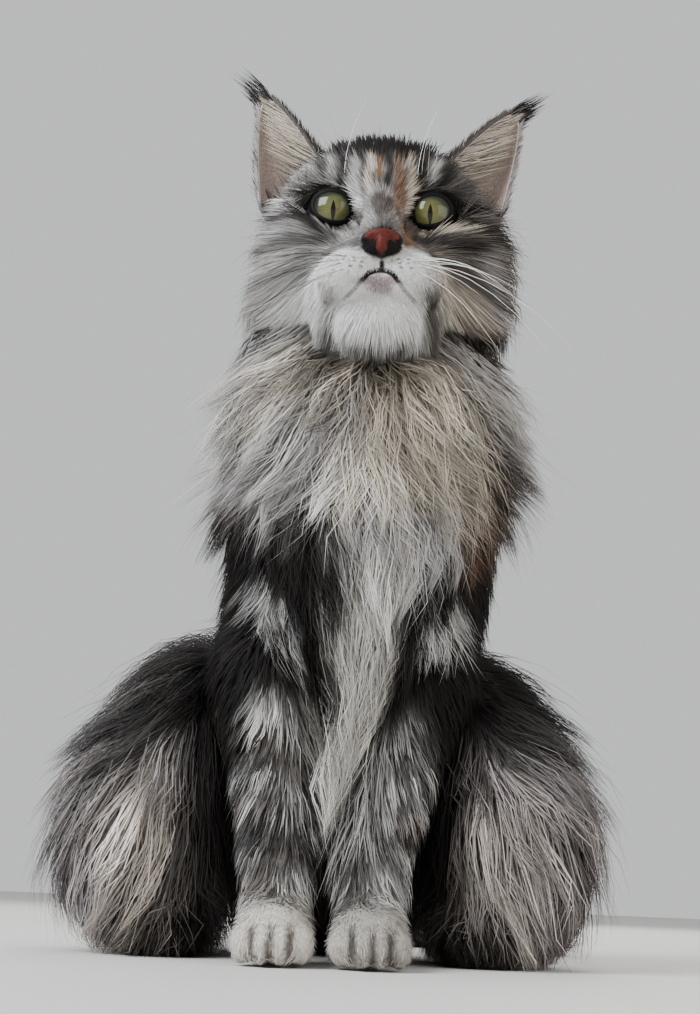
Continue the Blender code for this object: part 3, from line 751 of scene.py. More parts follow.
def build_skin():
    """One closed skin of the whole cat, finest on the face, with the walls of both ears in it."""
    obj = remeshed("skin", ALL_FORMS, SKIN_VOXEL)
    keep_largest(obj)
    put_points(obj.data, settle(body_distance, points_of(obj.data), rounds=4))
    subdivide(obj, lambda middles: by_face(middles, EAR_RISE), rounds=2)
    subdivide(obj, by_muzzle)
    points = points_of(obj.data)
    face = by_face(points, 0.006)
    points[face] = settle(face_distance, points[face], rounds=5)
    points[:, 2] = np.maximum(points[:, 2], FLOOR_GAP)
    put_points(obj.data, points)
    join_to(obj, [build_ear_wall(side) for _, side in SIDES])
    obj.data.shade_smooth()
    unwrap_active()
    obj.data.uv_layers[0].name = "OFBake"
    return obj


# Markings


def ripple(points, size, seed):
    """Smooth irregular waves of about the given size, from -1 to 1."""
    rng = np.random.default_rng(seed)
    total = 0
    for _ in range(7):
        direction = unit(rng.normal(size=3))
        length = size * rng.uniform(0.7, 1.5)
        total = total + np.sin(points @ direction * math.tau / length + rng.uniform(0, 9))
    return np.clip(total / 3.2, -1, 1)


def patch(points, centre, semi, soft):
    """1 inside an ellipsoid and 0 outside it, with a soft edge."""
    near = np.linalg.norm((points - np.array(centre)) / np.array(semi), axis=1)
    return ease((1 + soft / 2 - near) / soft)


def stroke(points, line, width, soft=0.6):
    """1 near a line of points and 0 away from it."""
    return ease((1 + soft / 2 - polyline_distance(points, line) / width) / soft)


def lay_over(colours, colour, mask):
    return colours + (np.array(colour) - colours) * mask[:, None]


def evenly(points, colour, times=1.0):
    """The same colour, times a factor, at every point."""
    return np.tile(np.array(colour) * times, (len(points), 1))


# Marks of the face as seen from in front, in the head's frame: name, middle (x, z), half-sizes,
# colour, strength, soft edge
FACE_MARKS = (
    ("crown", (0.000, 0.054), (0.060, 0.0330), DARK, 0.97, 0.12),
    ("right temple", (-0.036, 0.010), (0.014, 0.014), SILVER, 0.35, 0.9),
    ("left temple", (0.037, 0.012), (0.014, 0.016), GREY, 0.7, 0.9),
    ("above the right eye", (-0.025, 0.0115), (0.0110, 0.0026), DARK, 0.25, 0.9),
    ("above the left eye", (0.026, 0.0125), (0.0120, 0.0036), DARK, 0.45, 0.9),
    ("right inner corner", (-0.0130, -0.001), (0.0032, 0.0085), WHITE, 0.80, 0.8),
    ("left inner corner", (0.0122, 0.002), (0.0026, 0.0080), CREAM, 0.80, 0.8),
    ("bridge", (-0.0015, -0.008), (0.0068, 0.0100), BROWN, 0.55, 0.9),
    ("bridge light", (-0.0060, -0.012), (0.0030, 0.0070), SILVER, 0.55, 0.9),
    ("ginger beside the nose", (0.0112, -0.0190), (0.0034, 0.0110), GINGER, 0.70, 0.9),
    ("right cheek", (-0.0440, -0.026), (0.0150, 0.0260), SILVER, 0.70, 0.9),
    ("left cheek", (0.0480, -0.028), (0.0160, 0.0300), BROWN, 0.60, 0.9),
    ("left cheek light", (0.0400, -0.030), (0.0040, 0.0150), SILVER, 0.65, 0.9),
    ("right muzzle", (-0.0180, -0.0390), (0.0200, 0.0110), WHITE, 0.95, 0.5),
    ("right cheek below", (-0.0235, -0.0470), (0.0100, 0.0095), WHITE, 0.80, 0.8),
    ("left muzzle", (0.0150, -0.0375), (0.0150, 0.0105), WHITE, 0.85, 0.6),
    ("left outer muzzle", (0.0290, -0.0350), (0.0085, 0.0085), CREAM, 0.75, 0.8),
    ("left jaw", (0.0330, -0.0500), (0.0110, 0.0080), BROWN, 0.55, 0.8),
    # painted shadow: a grey band under the chin
    ("shadow under the chin", (-0.0010, -0.0800), (0.0400, 0.0180), GREY, 0.80, 0.5),
    ("chin", (-0.0010, -0.0545), (0.0215, 0.0125), WHITE, 1.00, 0.45),
    ("jaw shade left", (0.0280, -0.0620), (0.0090, 0.0140), GREY, 0.35, 0.9),
    ("jaw shade right", (-0.0275, -0.0630), (0.0100, 0.0150), GREY, 0.90, 0.8),
    ("lip", (-0.0010, -0.0455), (0.0115, 0.0026), LILAC, 0.85, 0.8),
)

# Lines of the face as seen from in front: name, points (x, z), half-width, colour, strength
FACE_LINES = (
    ("outer stripe right", ((-0.0262, 0.014), (-0.0275, 0.0205), (-0.030, 0.0205)), 0.0022, DARK, 0.80),
    ("light right 1", ((-0.0205, 0.007), (-0.0222, 0.018), (-0.0235, 0.0205)), 0.0015, SILVER, 0.90),
    ("stripe right", ((-0.0160, 0.007), (-0.0172, 0.017), (-0.0185, 0.0205)), 0.0015, DARK, 0.95),
    ("light right 2", ((-0.0112, 0.004), (-0.0122, 0.016), (-0.0130, 0.0205)), 0.0017, SILVER, 0.95),
    ("thin stripe right", ((-0.0082, 0.009), (-0.0090, 0.019), (-0.0095, 0.0205)), 0.0010, DARK, 0.75),
    ("light by the parting", ((-0.0050, 0.004), (-0.0060, 0.018), (-0.0062, 0.0205)), 0.0016, CREAM, 0.80),
    ("ginger parting", ((-0.0012, 0.010), (-0.0020, 0.0205), (-0.0022, 0.0205)), 0.0011, GINGER, 0.90),
    ("middle stripe", ((0.0022, 0.006), (0.0020, 0.018), (0.0016, 0.0205)), 0.0013, DARK, 0.80),
    ("ginger brow", ((0.0072, -0.006), (0.0068, 0.006), (0.0060, 0.0195)), 0.0019, GINGER, 0.75),
    ("cream brow", ((0.0110, 0.004), (0.0112, 0.014), (0.0108, 0.0205)), 0.0013, CREAM, 0.75),
    ("stripe left", ((0.0150, 0.008), (0.0158, 0.018), (0.0162, 0.0205)), 0.0019, DARK, 0.95),
    ("light left", ((0.0200, 0.010), (0.0222, 0.018), (0.0232, 0.0205)), 0.0020, SILVER, 0.85),
    ("outer stripe left", ((0.0275, 0.014), (0.0290, 0.0205), (0.030, 0.0205)), 0.0024, DARK, 0.85),
    ("eye line right", ((-0.0270, -0.0130), (-0.0350, -0.0070), (-0.0470, -0.0020)), 0.0017, DARK, 0.85),
    ("crescent right", ((-0.0140, -0.0125), (-0.0190, -0.0132), (-0.0250, -0.0118)), 0.0011, CREAM, 0.90),
    ("cheek line right 1", ((-0.0250, -0.0190), (-0.0350, -0.0170), (-0.0480, -0.0160)), 0.0020, DARK, 0.60),
    ("cheek line right 2", ((-0.0300, -0.0270), (-0.0400, -0.0270), (-0.0500, -0.0300)), 0.0017, DARK, 0.40),
    ("eye line left", ((0.0340, -0.0090), (0.0420, -0.0080), (0.0530, -0.0090)), 0.0024, DARK, 0.85),
    ("crescent left", ((0.0190, -0.0128), (0.0250, -0.0134), (0.0330, -0.0105)), 0.0013, CREAM, 0.90),
    ("under the left eye", ((0.0160, -0.0165), (0.0260, -0.0185), (0.0380, -0.0165)), 0.0022, DARK, 0.75),
    ("cheek line left 1", ((0.0250, -0.0250), (0.0350, -0.0270), (0.0480, -0.0330)), 0.0020, DARK, 0.65),
    ("cheek line left 2", ((0.0330, -0.0400), (0.0420, -0.0430), (0.0500, -0.0500)), 0.0024, DARK, 0.60),
    ("jaw right", ((-0.0290, -0.0600), (-0.0380, -0.0560), (-0.0440, -0.0530)), 0.0030, BROWN, 0.50),
)

WHISKER_ROWS = (
    ((0.0085, -0.048, -0.0335), (0.0255, -0.036, -0.0350), 5),
    ((0.0080, -0.049, -0.0362), (0.0270, -0.036, -0.0385), 5),
    ((0.0085, -0.048, -0.0390), (0.0260, -0.036, -0.0425), 4),
)


def whisker_places(side):
    """The places of the whiskers of one side, in three rows on the muzzle, in the head's frame."""
    places = []
    for start, end, count in WHISKER_ROWS:
        for step in range(count):
            mix = np.array(start) + (np.array(end) - np.array(start)) * step / (count - 1)
            places.append(mix * (side, 1, 1))
    return on_skin(np.array(places))


WHISKER_SPOTS = {side: whisker_places(side) for _, side in SIDES}
FRONT_VIEW = np.array((1, 0, 1))
EYE_OUTLINE = (1, 1, 0.88)  # an eye's opening is lower than it is wide
FACE_BACK = 0.050  # the marks of the face fade out here, behind the cheeks
FLECK_STRETCH = (1, 1, 0.55)


def from_eye(local, side):
    """How far each point is from the middle of an eye, as seen from in front."""
    return np.linalg.norm((local - (side * EYE_SPACING / 2, 0, 0)) * FRONT_VIEW / EYE_OUTLINE, axis=1)


def face_colours(local):
    """The colour of the short coat at points of the head's frame."""
    cool = np.array(GREY) * 1.7
    warm = np.array(GREY) * (0.95, 0.86, 0.78)
    colours = cool + (warm - cool) * ease((local[:, 0] + 0.015) / 0.055)[:, None]
    wobble = local + 0.0009 * np.stack([ripple(local, 0.010, seed) for seed in (1, 2, 3)], axis=1)
    flat = wobble * FRONT_VIEW
    front = ease((FACE_BACK - local[:, 1]) / 0.014)
    stretched = local * FLECK_STRETCH
    fleck = 0.6 * ripple(stretched, 0.0055, 21) + 0.5 * ripple(stretched, 0.011, 22)
    colours = colours * np.exp(0.65 * fleck)[:, None]
    for _, (x, z), (wide, high), colour, strength, soft in FACE_MARKS:
        colours = lay_over(colours, colour, front * strength * patch(flat, (x, 0, z), (wide, 1, high), soft))
    for _, line, width, colour, strength in FACE_LINES:
        line = [(x, 0, z) for x, z in line]
        colours = lay_over(colours, colour, front * strength * stroke(flat, line, width, 1.0))
    for (_, side), line in zip(SIDES, MOUTH_LINES):
        rim = LID_HALF_WIDTH + 0.0026 - from_eye(local, side)
        colours = lay_over(colours, DARK, front * ease(rim / 0.0012))
        tear = [(side * 0.0130, 0, -0.0035), (side * 0.0100, 0, -0.0100)]
        colours = lay_over(colours, DARK, 0.8 * front * stroke(flat, tear, 0.0012))
        colours = lay_over(colours, DARK, stroke(local, line[:5], 0.0014))
        # painted soft shadow between the muzzle and the chin, along the outer ends of the mouth's line
        colours = lay_over(colours, GREY, 0.6 * stroke(local, line[4:], 0.0012))
        for spot in WHISKER_SPOTS[side]:
            colours = lay_over(colours, DARK, 0.75 * patch(local, spot, (0.0009, 0.0020, 0.0007), 0.8))
    colours = lay_over(colours, DARK, stroke(local, LIP_SPLIT, 0.0013))
    edge = patch(local, (0, -0.044, -0.0272), (0.0112, 0.010, 0.0074), 0.3)
    colours = lay_over(colours, DARK, edge)
    return lay_over(colours, CREAM, 0.9 * throat_share(local))


# Marks of the body, in the cat's layout: name, middle, half-sizes, colour, strength, soft edge
BODY_MARKS = (
    ("shoulders", (0.010, 0.060, 0.195), (0.090, 0.062, 0.085), DARK, 0.97, 0.7),
    ("right flank", (-0.060, 0.050, 0.130), (0.032, 0.050, 0.070), DARK, 0.97, 0.6),
    ("left flank", (0.062, 0.050, 0.130), (0.028, 0.050, 0.070), DARK, 0.97, 0.6),
    ("right tuft", (-0.032, 0.014, 0.184), (0.012, 0.030, 0.013), SILVER, 0.98, 0.5),
    ("left tuft", (0.052, 0.018, 0.180), (0.012, 0.020, 0.012), SILVER, 0.95, 0.5),
    ("right elbow tuft", (-0.030, 0.010, 0.122), (0.011, 0.018, 0.011), SILVER, 0.90, 0.6),
    ("collar right", (-0.032, 0.015, 0.304), (0.042, 0.060, 0.046), SILVER, 0.90, 0.7),
    ("collar right shade", (-0.040, 0.010, 0.268), (0.014, 0.030, 0.010), LILAC, 0.50, 0.9),
    ("collar left", (0.068, 0.030, 0.290), (0.036, 0.060, 0.056), BROWN, 0.85, 0.8),
    ("collar left light", (0.050, 0.010, 0.312), (0.022, 0.040, 0.020), SILVER, 0.85, 0.9),
    ("collar middle", (0.010, -0.010, 0.305), (0.032, 0.045, 0.024), CREAM, 0.95, 0.8),
    ("throat shade", (0.006, 0.000, 0.285), (0.018, 0.020, 0.007), DARK, 0.60, 0.9),
    ("bib right", (-0.012, -0.004, 0.268), (0.028, 0.034, 0.022), SILVER, 0.90, 0.8),
    ("bib left", (0.030, -0.002, 0.262), (0.026, 0.030, 0.026), CREAM, 0.85, 0.8),
    ("bib middle", (0.020, 0.000, 0.232), (0.022, 0.034, 0.026), SILVER, 0.95, 0.8),
    ("bib shade", (-0.006, 0.000, 0.236), (0.008, 0.020, 0.014), DARK, 0.80, 0.8),
    ("rust", (0.050, 0.014, 0.240), (0.008, 0.022, 0.018), GINGER, 0.45, 0.9),
    ("right brown", (-0.046, 0.016, 0.254), (0.022, 0.034, 0.018), BROWN, 0.85, 0.8),
    ("left brown", (0.068, 0.020, 0.256), (0.022, 0.036, 0.026), BROWN, 0.90, 0.8),
    ("chest streak", (0.012, 0.004, 0.175), (0.021, 0.030, 0.050), STREAK, 0.90, 0.7),
    ("streak middle", (0.003, 0.006, 0.130), (0.022, 0.030, 0.038), STREAK, 0.90, 0.7),
    ("streak foot", (-0.001, 0.012, 0.088), (0.010, 0.028, 0.022), SILVER, 0.92, 0.7),
)

HAUNCH_LIGHT = (0.076, 0.020, 0.066)  # the middle of the pale fur on the front of a haunch
HAUNCH_PALE = np.array(SILVER) * 0.6 + np.array(LILAC) * 0.4
STREAK_STRETCH = (1, 1, 0.30)
BRACELETS = (0.050, 0.064, 0.082, 0.100)  # the heights of the dark bars of the forelegs
TAIL_RINGS = 7


def torso_colours(body):
    """The colour of the trunk: a dark back with silver sides crossed by dark bars."""
    colours = evenly(body, BROWN)
    sides = ease((np.abs(body[:, 0]) - 0.018) / 0.030)
    colours = lay_over(colours, GREY, 0.8 * sides)
    bars = 0.5 + 0.5 * np.sin(body[:, 2] * math.tau / 0.046 + 9 * body[:, 1] + 0.8 * ripple(body, 0.05, 5))
    return lay_over(colours, DARK, 0.9 * ease((bars - 0.42) / 0.3) * (0.5 + 0.5 * sides))


def hindleg_colours(body):
    colours = evenly(body, GREY, 1.2)
    swirl = body[:, 2] * 26 + np.abs(body[:, 0]) * 22 + body[:, 1] * 30
    bars = 0.5 + 0.5 * np.sin(swirl * 2.2 + ripple(body, 0.05, 6))
    colours = lay_over(colours, DARK, 0.55 * ease((bars - 0.55) / 0.3))
    streaks = ripple(body * STREAK_STRETCH, 0.014, 31)
    for _, side in SIDES:
        middle = np.array(HAUNCH_LIGHT) * (side, 1, 1)
        colours = lay_over(colours, HAUNCH_PALE, 0.90 * patch(body, middle, (0.036, 0.080, 0.046), 0.9))
        colours = lay_over(colours, CREAM, 0.55 * patch(body, middle, (0.020, 0.060, 0.034), 0.9))
        colours = lay_over(colours, GREY, 0.75 * ease((streaks - 0.10) / 0.4))
        inner = np.array((0.058, 0.040, 0.100)) * (side, 1, 1)
        colours = lay_over(colours, DARK, 0.9 * patch(body, inner, (0.014, 0.060, 0.060), 0.8))
        top = np.array((0.070, 0.060, 0.150)) * (side, 1, 1)
        colours = lay_over(colours, DARK, 0.75 * patch(body, top, (0.040, 0.060, 0.030), 0.9))
    flank = patch(body, (0.132, 0.070, 0.100), (0.026, 0.080, 0.090), 0.9)
    colours = lay_over(colours, BROWN, 0.85 * flank)
    low = ease((0.034 - body[:, 2]) / 0.020)
    return lay_over(colours, CREAM, 0.6 * low * ease((0.10 - body[:, 1]) / 0.04))


def foreleg_colours(body):
    colours = evenly(body, SILVER, 0.85)
    blotch = ripple(body, 0.020, 9) + 0.5 * ripple(body, 0.009, 10)
    colours = lay_over(colours, BROWN, 0.80 * ease((blotch - 0.05) / 0.5))
    for height in BRACELETS:
        bar = np.abs(body[:, 2] - height - 0.004 * ripple(body, 0.02, 8)) / 0.0040
        colours = lay_over(colours, DARK, 0.85 * ease(1.5 - bar))
    upper = ease((body[:, 2] - 0.104) / 0.026)
    return lay_over(colours, DARK, 0.96 * upper)


def paw_colours(body):
    """Pale paws, greyer on the left, with shaded creases between the toes."""
    colours = evenly(body, WHITE, (0.84, 0.79, 0.73))
    colours = lay_over(colours, GREY, 0.45 * ease(body[:, 0] / 0.01))
    colours = lay_over(colours, GREY, 0.6 * ease((body[:, 2] - 0.024) / 0.010))
    for _, side in SIDES:
        for step in (-1, 0, 1):
            x = side * LEG_X + step * TOE_SPREAD * 2 / 3
            crease = ease(1.6 - np.abs(body[:, 0] - x) / 0.0014) * ease((0.021 - body[:, 2]) / 0.006)
            colours = lay_over(colours, BROWN, 0.85 * crease * ease((0.005 - body[:, 1]) / 0.01))
    return colours


def tail_colours(body):
    share = nearest_on_tail(body) / TAIL_STEPS
    rings = 0.5 + 0.5 * np.sin(share * math.tau * TAIL_RINGS)
    colours = evenly(body, GREY)
    colours = lay_over(colours, DARK, 0.85 * ease((rings - 0.3) / 0.4))
    return lay_over(colours, DARK, 0.9 * ease((share - 0.85) / 0.1))


ZONES = ("head", "neck", "torso", "foreleg", "forepaw", "hindleg", "hindfoot", "tail")
ZONE_BLEND = 0.006


def share_of(shares, zone):
    """How much one zone counts, from the shares of all of them."""
    return shares[:, ZONES.index(zone)]


def zone_shares(points):
    """How much each zone of the coat counts at each point."""
    far = []
    for zone in ZONES:
        groups = [forms for name, forms in BODY.items() if name.split("_")[0] == zone]
        far.append(np.min([smooth_distance(forms, points) for forms in groups], axis=0))
    far = np.array(far).T
    weights = np.exp(-(far - far.min(axis=1, keepdims=True)) / ZONE_BLEND)
    return weights / weights.sum(axis=1, keepdims=True)


def coat_colours(points, shares):
    """The markings at points of the skin, which the coat shows too."""
    body = to_body(points)
    local = to_head(points)
    by_zone = {
        "head": face_colours(local),
        "neck": evenly(points, GREY, 1.6),
        "torso": torso_colours(body),
        "foreleg": foreleg_colours(body),
        "forepaw": paw_colours(body),
        "hindleg": hindleg_colours(body),
        "hindfoot": evenly(points, DARK),
        "tail": tail_colours(body),
    }
    colours = sum(shares[:, k : k + 1] * by_zone[zone] for k, zone in enumerate(ZONES))
    trunk = (1 - ease((share_of(shares, "head") - 0.35) / 0.3)) * (1 - 0.85 * share_of(shares, "hindleg"))
    trunk *= 1 - 0.9 * share_of(shares, "forepaw")
    for _, middle, half, colour, strength, soft in BODY_MARKS:
        colours = lay_over(colours, colour, strength * trunk * patch(body, middle, half, soft))
    return colours


# The lie of the coat, in the cat's layout


def directions(points, *parts):
    """One direction for each point, put together from a value or an array for each axis."""
    return np.stack([np.zeros(len(points)) + part for part in parts], axis=1)


def ruff_flow(body):
    out = np.clip((body[:, 0] - CHEST_X) / 0.04, -1, 1)
    back = np.clip((body[:, 1] - 0.05) / 0.05, -0.3, 0.8)
    return directions(body, out * (0.8 + 0.5 * ease((body[:, 2] - 0.280) / 0.025)), back, -1.0)


def torso_flow(body):
    inward = np.clip((CHEST_X - body[:, 0]) / 0.08, -0.3, 0.3) + 0.08
    out = np.clip(body[:, 0] / 0.08, -1, 1) * 0.35
    rear = ease((body[:, 1] - 0.010) / 0.050)
    sweep = ease((body[:, 2] - 0.195) / 0.030) * (0.20 + 0.55 * ease(body[:, 0] / 0.04))
    return directions(body, (inward + sweep) * (1 - rear) + out * rear, 0.5 * rear, -1.0)


def hindleg_flow(body):
    low = np.clip((0.12 - body[:, 2]) / 0.12, 0, 1)
    return directions(body, np.sign(body[:, 0]) * (0.55 - 0.35 * low), 0.15, -1.0)


def foreleg_flow(body):
    return directions(body, np.sign(body[:, 0]) * 0.15, 0.6 * ease(body[:, 1] / 0.03), -1.0)


def paw_flow(body):
    return directions(body, np.sign(body[:, 0]) * 0.1, -0.7, -0.7)


def tail_flow(body):
    nearest = nearest_on_tail(body)
    ahead = unit(TAIL_LINE[np.minimum(nearest + 1, TAIL_STEPS)] - TAIL_LINE[np.maximum(nearest - 1, 0)])
    away = unit(body - TAIL_LINE[nearest])
    return ahead + away * 0.3 + directions(body, 0.0, 0.0, -0.25)


NOSE_TIP = np.array((0, -0.050, -0.022))


def head_flow(body):
    """Away from the nose, and down and back on the cheeks and the chin."""
    turn = head_place().to_3x3()
    local = body @ np.array(turn) - np.array(turn.transposed() @ head_place().translation)
    away = unit(local - NOSE_TIP)
    low = ease((-0.010 - local[:, 2]) / 0.030)
    away = away + directions(local, 0.0, 0.25, -0.9) * (0.65 * low)[:, None]
    wide = ease((np.abs(local[:, 0]) - 0.025) / 0.020)
    aside = np.sign(local[:, 0]) * (0.60 + 0.8 * low)
    away = away + directions(local, aside, 0.20, -0.25) * wide[:, None]
    under = ease((-0.058 - local[:, 2]) / 0.008) * ease((0.030 - np.abs(local[:, 0])) / 0.010)
    away = away + directions(local, 0.0, 1.7, 0.55) * under[:, None]
    crown = ease((local[:, 2] - 0.024) / 0.012)[:, None]
    away = away + directions(local, local[:, 0] * 6, -0.1, 0.5) * crown
    throat = throat_share(local)[:, None]
    away = away + (directions(local, local[:, 0] * 25, 0.20, -0.9) - away) * throat
    return away @ np.array(turn).T


FLOWS = {
    "head": head_flow,
    "neck": ruff_flow,
    "torso": torso_flow,
    "foreleg": foreleg_flow,
    "forepaw": paw_flow,
    "hindleg": hindleg_flow,
    "hindfoot": paw_flow,
    "tail": tail_flow,
}

# Length of the coat, how far its tips stand from the skin, its width and its waviness
COAT = {
    "head": (0.0080, 0.0022, 0.0008, 0.04),
    "neck": (0.062, 0.030, 0.00064, 0.22),
    "torso": (0.060, 0.020, 0.00064, 0.18),
    "foreleg": (0.017, 0.0055, 0.0008, 0.10),
    "forepaw": (0.0070, 0.0016, 0.0006, 0.03),
    "hindleg": (0.062, 0.0225, 0.00066, 0.16),
    "hindfoot": (0.014, 0.0035, 0.0008, 0.05),
    "tail": (0.050, 0.019, 0.0010, 0.14),
}
ELBOW_COAT = (0.030, 0.010, 0.0009, 0.08)
STREAK_COAT = (0.094, 0.020, 0.00070, 0.16)
COLLAR_MORE = (0.006, 0.024, 0, 0)  # what the sides of the collar have on top of the neck's sizes


def throat_share(local):
    """1 under the jaw, where the collar begins, and 0 on the chin and the face."""
    return ease((-0.056 - local[:, 2]) / 0.012) * ease((local[:, 1] + 0.012) / 0.014)


def head_coat(local):
    """The sizes of the coat at points of the head: short on the face, least by the eyes and the mouth,
    long on the cheeks and longest on the left one, raised on the crown and before the ears."""
    from_nose = np.linalg.norm(local - NOSE_TIP, axis=1)
    high = ease((local[:, 2] + 0.002) / 0.020) * ease((0.060 - local[:, 1]) / 0.030)
    cheek = ease((from_nose - 0.032) / 0.050) * (1 - 0.70 * high)
    left = ease((local[:, 0] - 0.020) / 0.020)
    throat = throat_share(local)
    low = ease((-0.018 - local[:, 2]) / 0.020) * cheek * (1 - throat)
    by_ear = patch(np.abs(local) * FRONT_VIEW, (0.031, 0, 0.034), (0.012, 1, 0.016), 0.8)
    tall = ease((local[:, 2] - 0.024) / 0.012) * (0.7 + 1.0 * by_ear)
    lines = [polyline_distance(local, line) for line in MOUTH_LINES + [LIP_SPLIT]]
    by_mouth = 0.42 + 0.58 * ease((np.min(lines, axis=0) - 0.0015) / 0.0045)
    eyes = np.abs(local) * FRONT_VIEW - (EYE_SPACING / 2, 0, 0)
    by_eye = 0.50 + 0.50 * ease((np.linalg.norm(eyes, axis=1) - LID_HALF_WIDTH - 0.002) / 0.006)
    short = by_mouth * by_eye
    length = 0.0048 * short + (0.031 + 0.009 * left) * cheek + 0.015 * low + 0.012 * throat + 0.006 * tall
    stand = 0.0012 * short + (0.0165 + 0.008 * left) * cheek + 0.017 * low + 0.005 * throat + 0.0045 * tall
    width = 0.00050 + 0.0004 * cheek
    waves = 0.03 + 0.08 * cheek + 0.20 * throat
    return np.stack((length, stand, width, waves), axis=1)


def coat_sizes(points, shares):
    """Length, stand, width and waviness of the coat at each point."""
    sizes = shares @ np.array([COAT[zone] for zone in ZONES])
    head = share_of(shares, "head")
    sizes = sizes + head[:, None] * (head_coat(to_head(points)) - COAT["head"])
    body = to_body(points)
    elbow = share_of(shares, "foreleg") * ease((body[:, 1] - 0.035) / 0.020)
    sizes = sizes + elbow[:, None] * (np.array(ELBOW_COAT) - COAT["foreleg"]) * 0.8
    aside = ease((np.abs(body[:, 0] - CHEST_X) - 0.015) / 0.025) * ease((body[:, 2] - 0.262) / 0.020)
    collar = aside * share_of(shares, "neck")
    sizes = sizes + collar[:, None] * np.array(COLLAR_MORE)
    streak = patch(body, (0.004, 0.004, 0.130), (0.022, 0.034, 0.065), 0.8) * (1 - head)
    return sizes + streak[:, None] * (np.array(STREAK_COAT) - sizes)


def coat_flow(points, shares):
    body = to_body(points)
    total = np.zeros_like(points)
    for k, zone in enumerate(ZONES):
        some = shares[:, k] > 0.02
        if some.any():
            total[some] += shares[some, k : k + 1] * unit(FLOWS[zone](body[some]))
    return unit(total)


# Tufts

# The width of a tuft at each of its rings, by the count of the rings
STRAND_PROFILES = {
    1: (1.0,),
    2: (0.9, 0.75),
    3: (0.8, 1.0, 0.62),
    4: (0.7, 1.0, 0.85, 0.5),
    6: (0.9, 1.0, 0.9, 0.75, 0.55, 0.35),
}
FLATNESS = 0.45  # how high a tuft is for its width
SOFTNESS = 0.55  # how far its normals follow the skin under it
ROOT_DEPTH = 0.0008


def skin_table(obj):
    """The skin's triangles with their UV, areas, places and zones, for choosing roots."""
    mesh = obj.data
    mesh.calc_loop_triangles()
    total = len(mesh.loop_triangles)
    corners = np.empty(total * 3, np.int32)
    loops = np.empty(total * 3, np.int32)
    mesh.loop_triangles.foreach_get("vertices", corners)
    mesh.loop_triangles.foreach_get("loops", loops)
    uv = np.empty(len(mesh.loops) * 2)
    mesh.uv_layers["OFBake"].data.foreach_get("uv", uv)
    triangles = points_of(mesh)[corners.reshape(-1, 3)]
    cross = np.cross(triangles[:, 1] - triangles[:, 0], triangles[:, 2] - triangles[:, 0])
    middles = triangles.mean(axis=1)
    return {
        "triangles": triangles,
        "uv": uv.reshape(-1, 2)[loops.reshape(-1, 3)],
        "area": np.linalg.norm(cross, axis=1),
        "normal": unit(cross),
        "body": to_body(middles),
        "local": to_head(middles),
        "shares": zone_shares(middles),
        "ear": head_distance(middles) > EAR_RISE,
    }


def nearest_of(choice, points):
    """Which of a choice of places is nearest to each point."""
    tree = KDTree(len(choice))
    for index, place in enumerate(choice):
        tree.insert(place, index)
    tree.balance()
    return np.array([tree.find(point)[1] for point in points])


def nearest_uv(table, points):
    """The place on the skin's unwrap of the triangle nearest to each point."""
    return table["uv"][nearest_of(table["triangles"].mean(axis=1), points)].mean(axis=1)


def skin_roots(table, count, wanted, rng):
    """Places spread evenly over the part of the skin that wanted(table) marks, with their UV."""
    area = table["area"] * wanted(table)
    picked = rng.choice(len(area), count, p=area / area.sum())
    mix = rng.dirichlet((1, 1, 1), count)
    points = np.einsum("nij,ni->nj", table["triangles"][picked], mix)
    return points, np.einsum("nij,ni->nj", table["uv"][picked], mix)


def laid_paths(roots, shares, lengths, stands, steps, distance, out_of, flow):
    """Paths that follow the flow over the body from the roots, rising from the skin towards their tips."""
    paths = [roots - out_of(roots) * ROOT_DEPTH]
    point = roots
    for step in range(1, steps + 1):
        share = step / steps
        out = out_of(point)
        ahead = flow(point, shares)
        ahead = unit(ahead - out * (ahead * out).sum(axis=1, keepdims=True))
        point = point + ahead * (lengths / steps)[:, None]
        rise = stands * share**0.85
        out = out_of(point)
        far = distance(point)
        point = point + out * np.clip(rise - far, -0.010, 0.010)[:, None]
        paths.append(point)
    return np.stack(paths, axis=1)


def clumped(paths, tightness, every, rng):
    """Draws each tuft's tip towards the nearest leader's, so that the coat parts into locks."""
    leaders = rng.choice(len(paths), max(len(paths) // every, 1), replace=False)
    nearest = nearest_of(paths[leaders, 0], paths[:, 0])
    share = np.linspace(0, 1, paths.shape[1])[None, :, None]
    pull = np.minimum(tightness, 0.92)[:, None, None] * share**1.2
    return paths + (paths[leaders[nearest]] - paths) * pull, leaders[nearest]


def waved(paths, ups, lengths, waviness, group, rng):
    """Bends the paths from side to side, alike within a lock."""
    along = unit(paths[:, -1] - paths[:, 0])
    side = unit(np.cross(along, ups))
    phase = rng.uniform(0, math.tau, len(paths))[group] + rng.normal(0, 0.5, len(paths))
    share = np.linspace(0, 1, paths.shape[1])[None, :]
    swing = np.sin(share * math.tau * 1.05 + phase[:, None]) - np.sin(phase)[:, None]
    reach = (lengths * waviness * 0.55)[:, None] * share
    return paths + (swing * reach)[:, :, None] * side[:, None, :]


def tuft_faces(rings):
    """The faces of one tuft: bands between its three-sided rings, its point and its closed root."""
    faces = []
    for ring in range(rings - 1):
        for k in range(3):
            here, after = ring * 3 + k, ring * 3 + (k + 1) % 3
            faces.append((after, here, here + 3, after + 3))
    last = (rings - 1) * 3
    return faces + [(last + (k + 1) % 3, last + k, rings * 3) for k in range(3)] + [(0, 1, 2)]


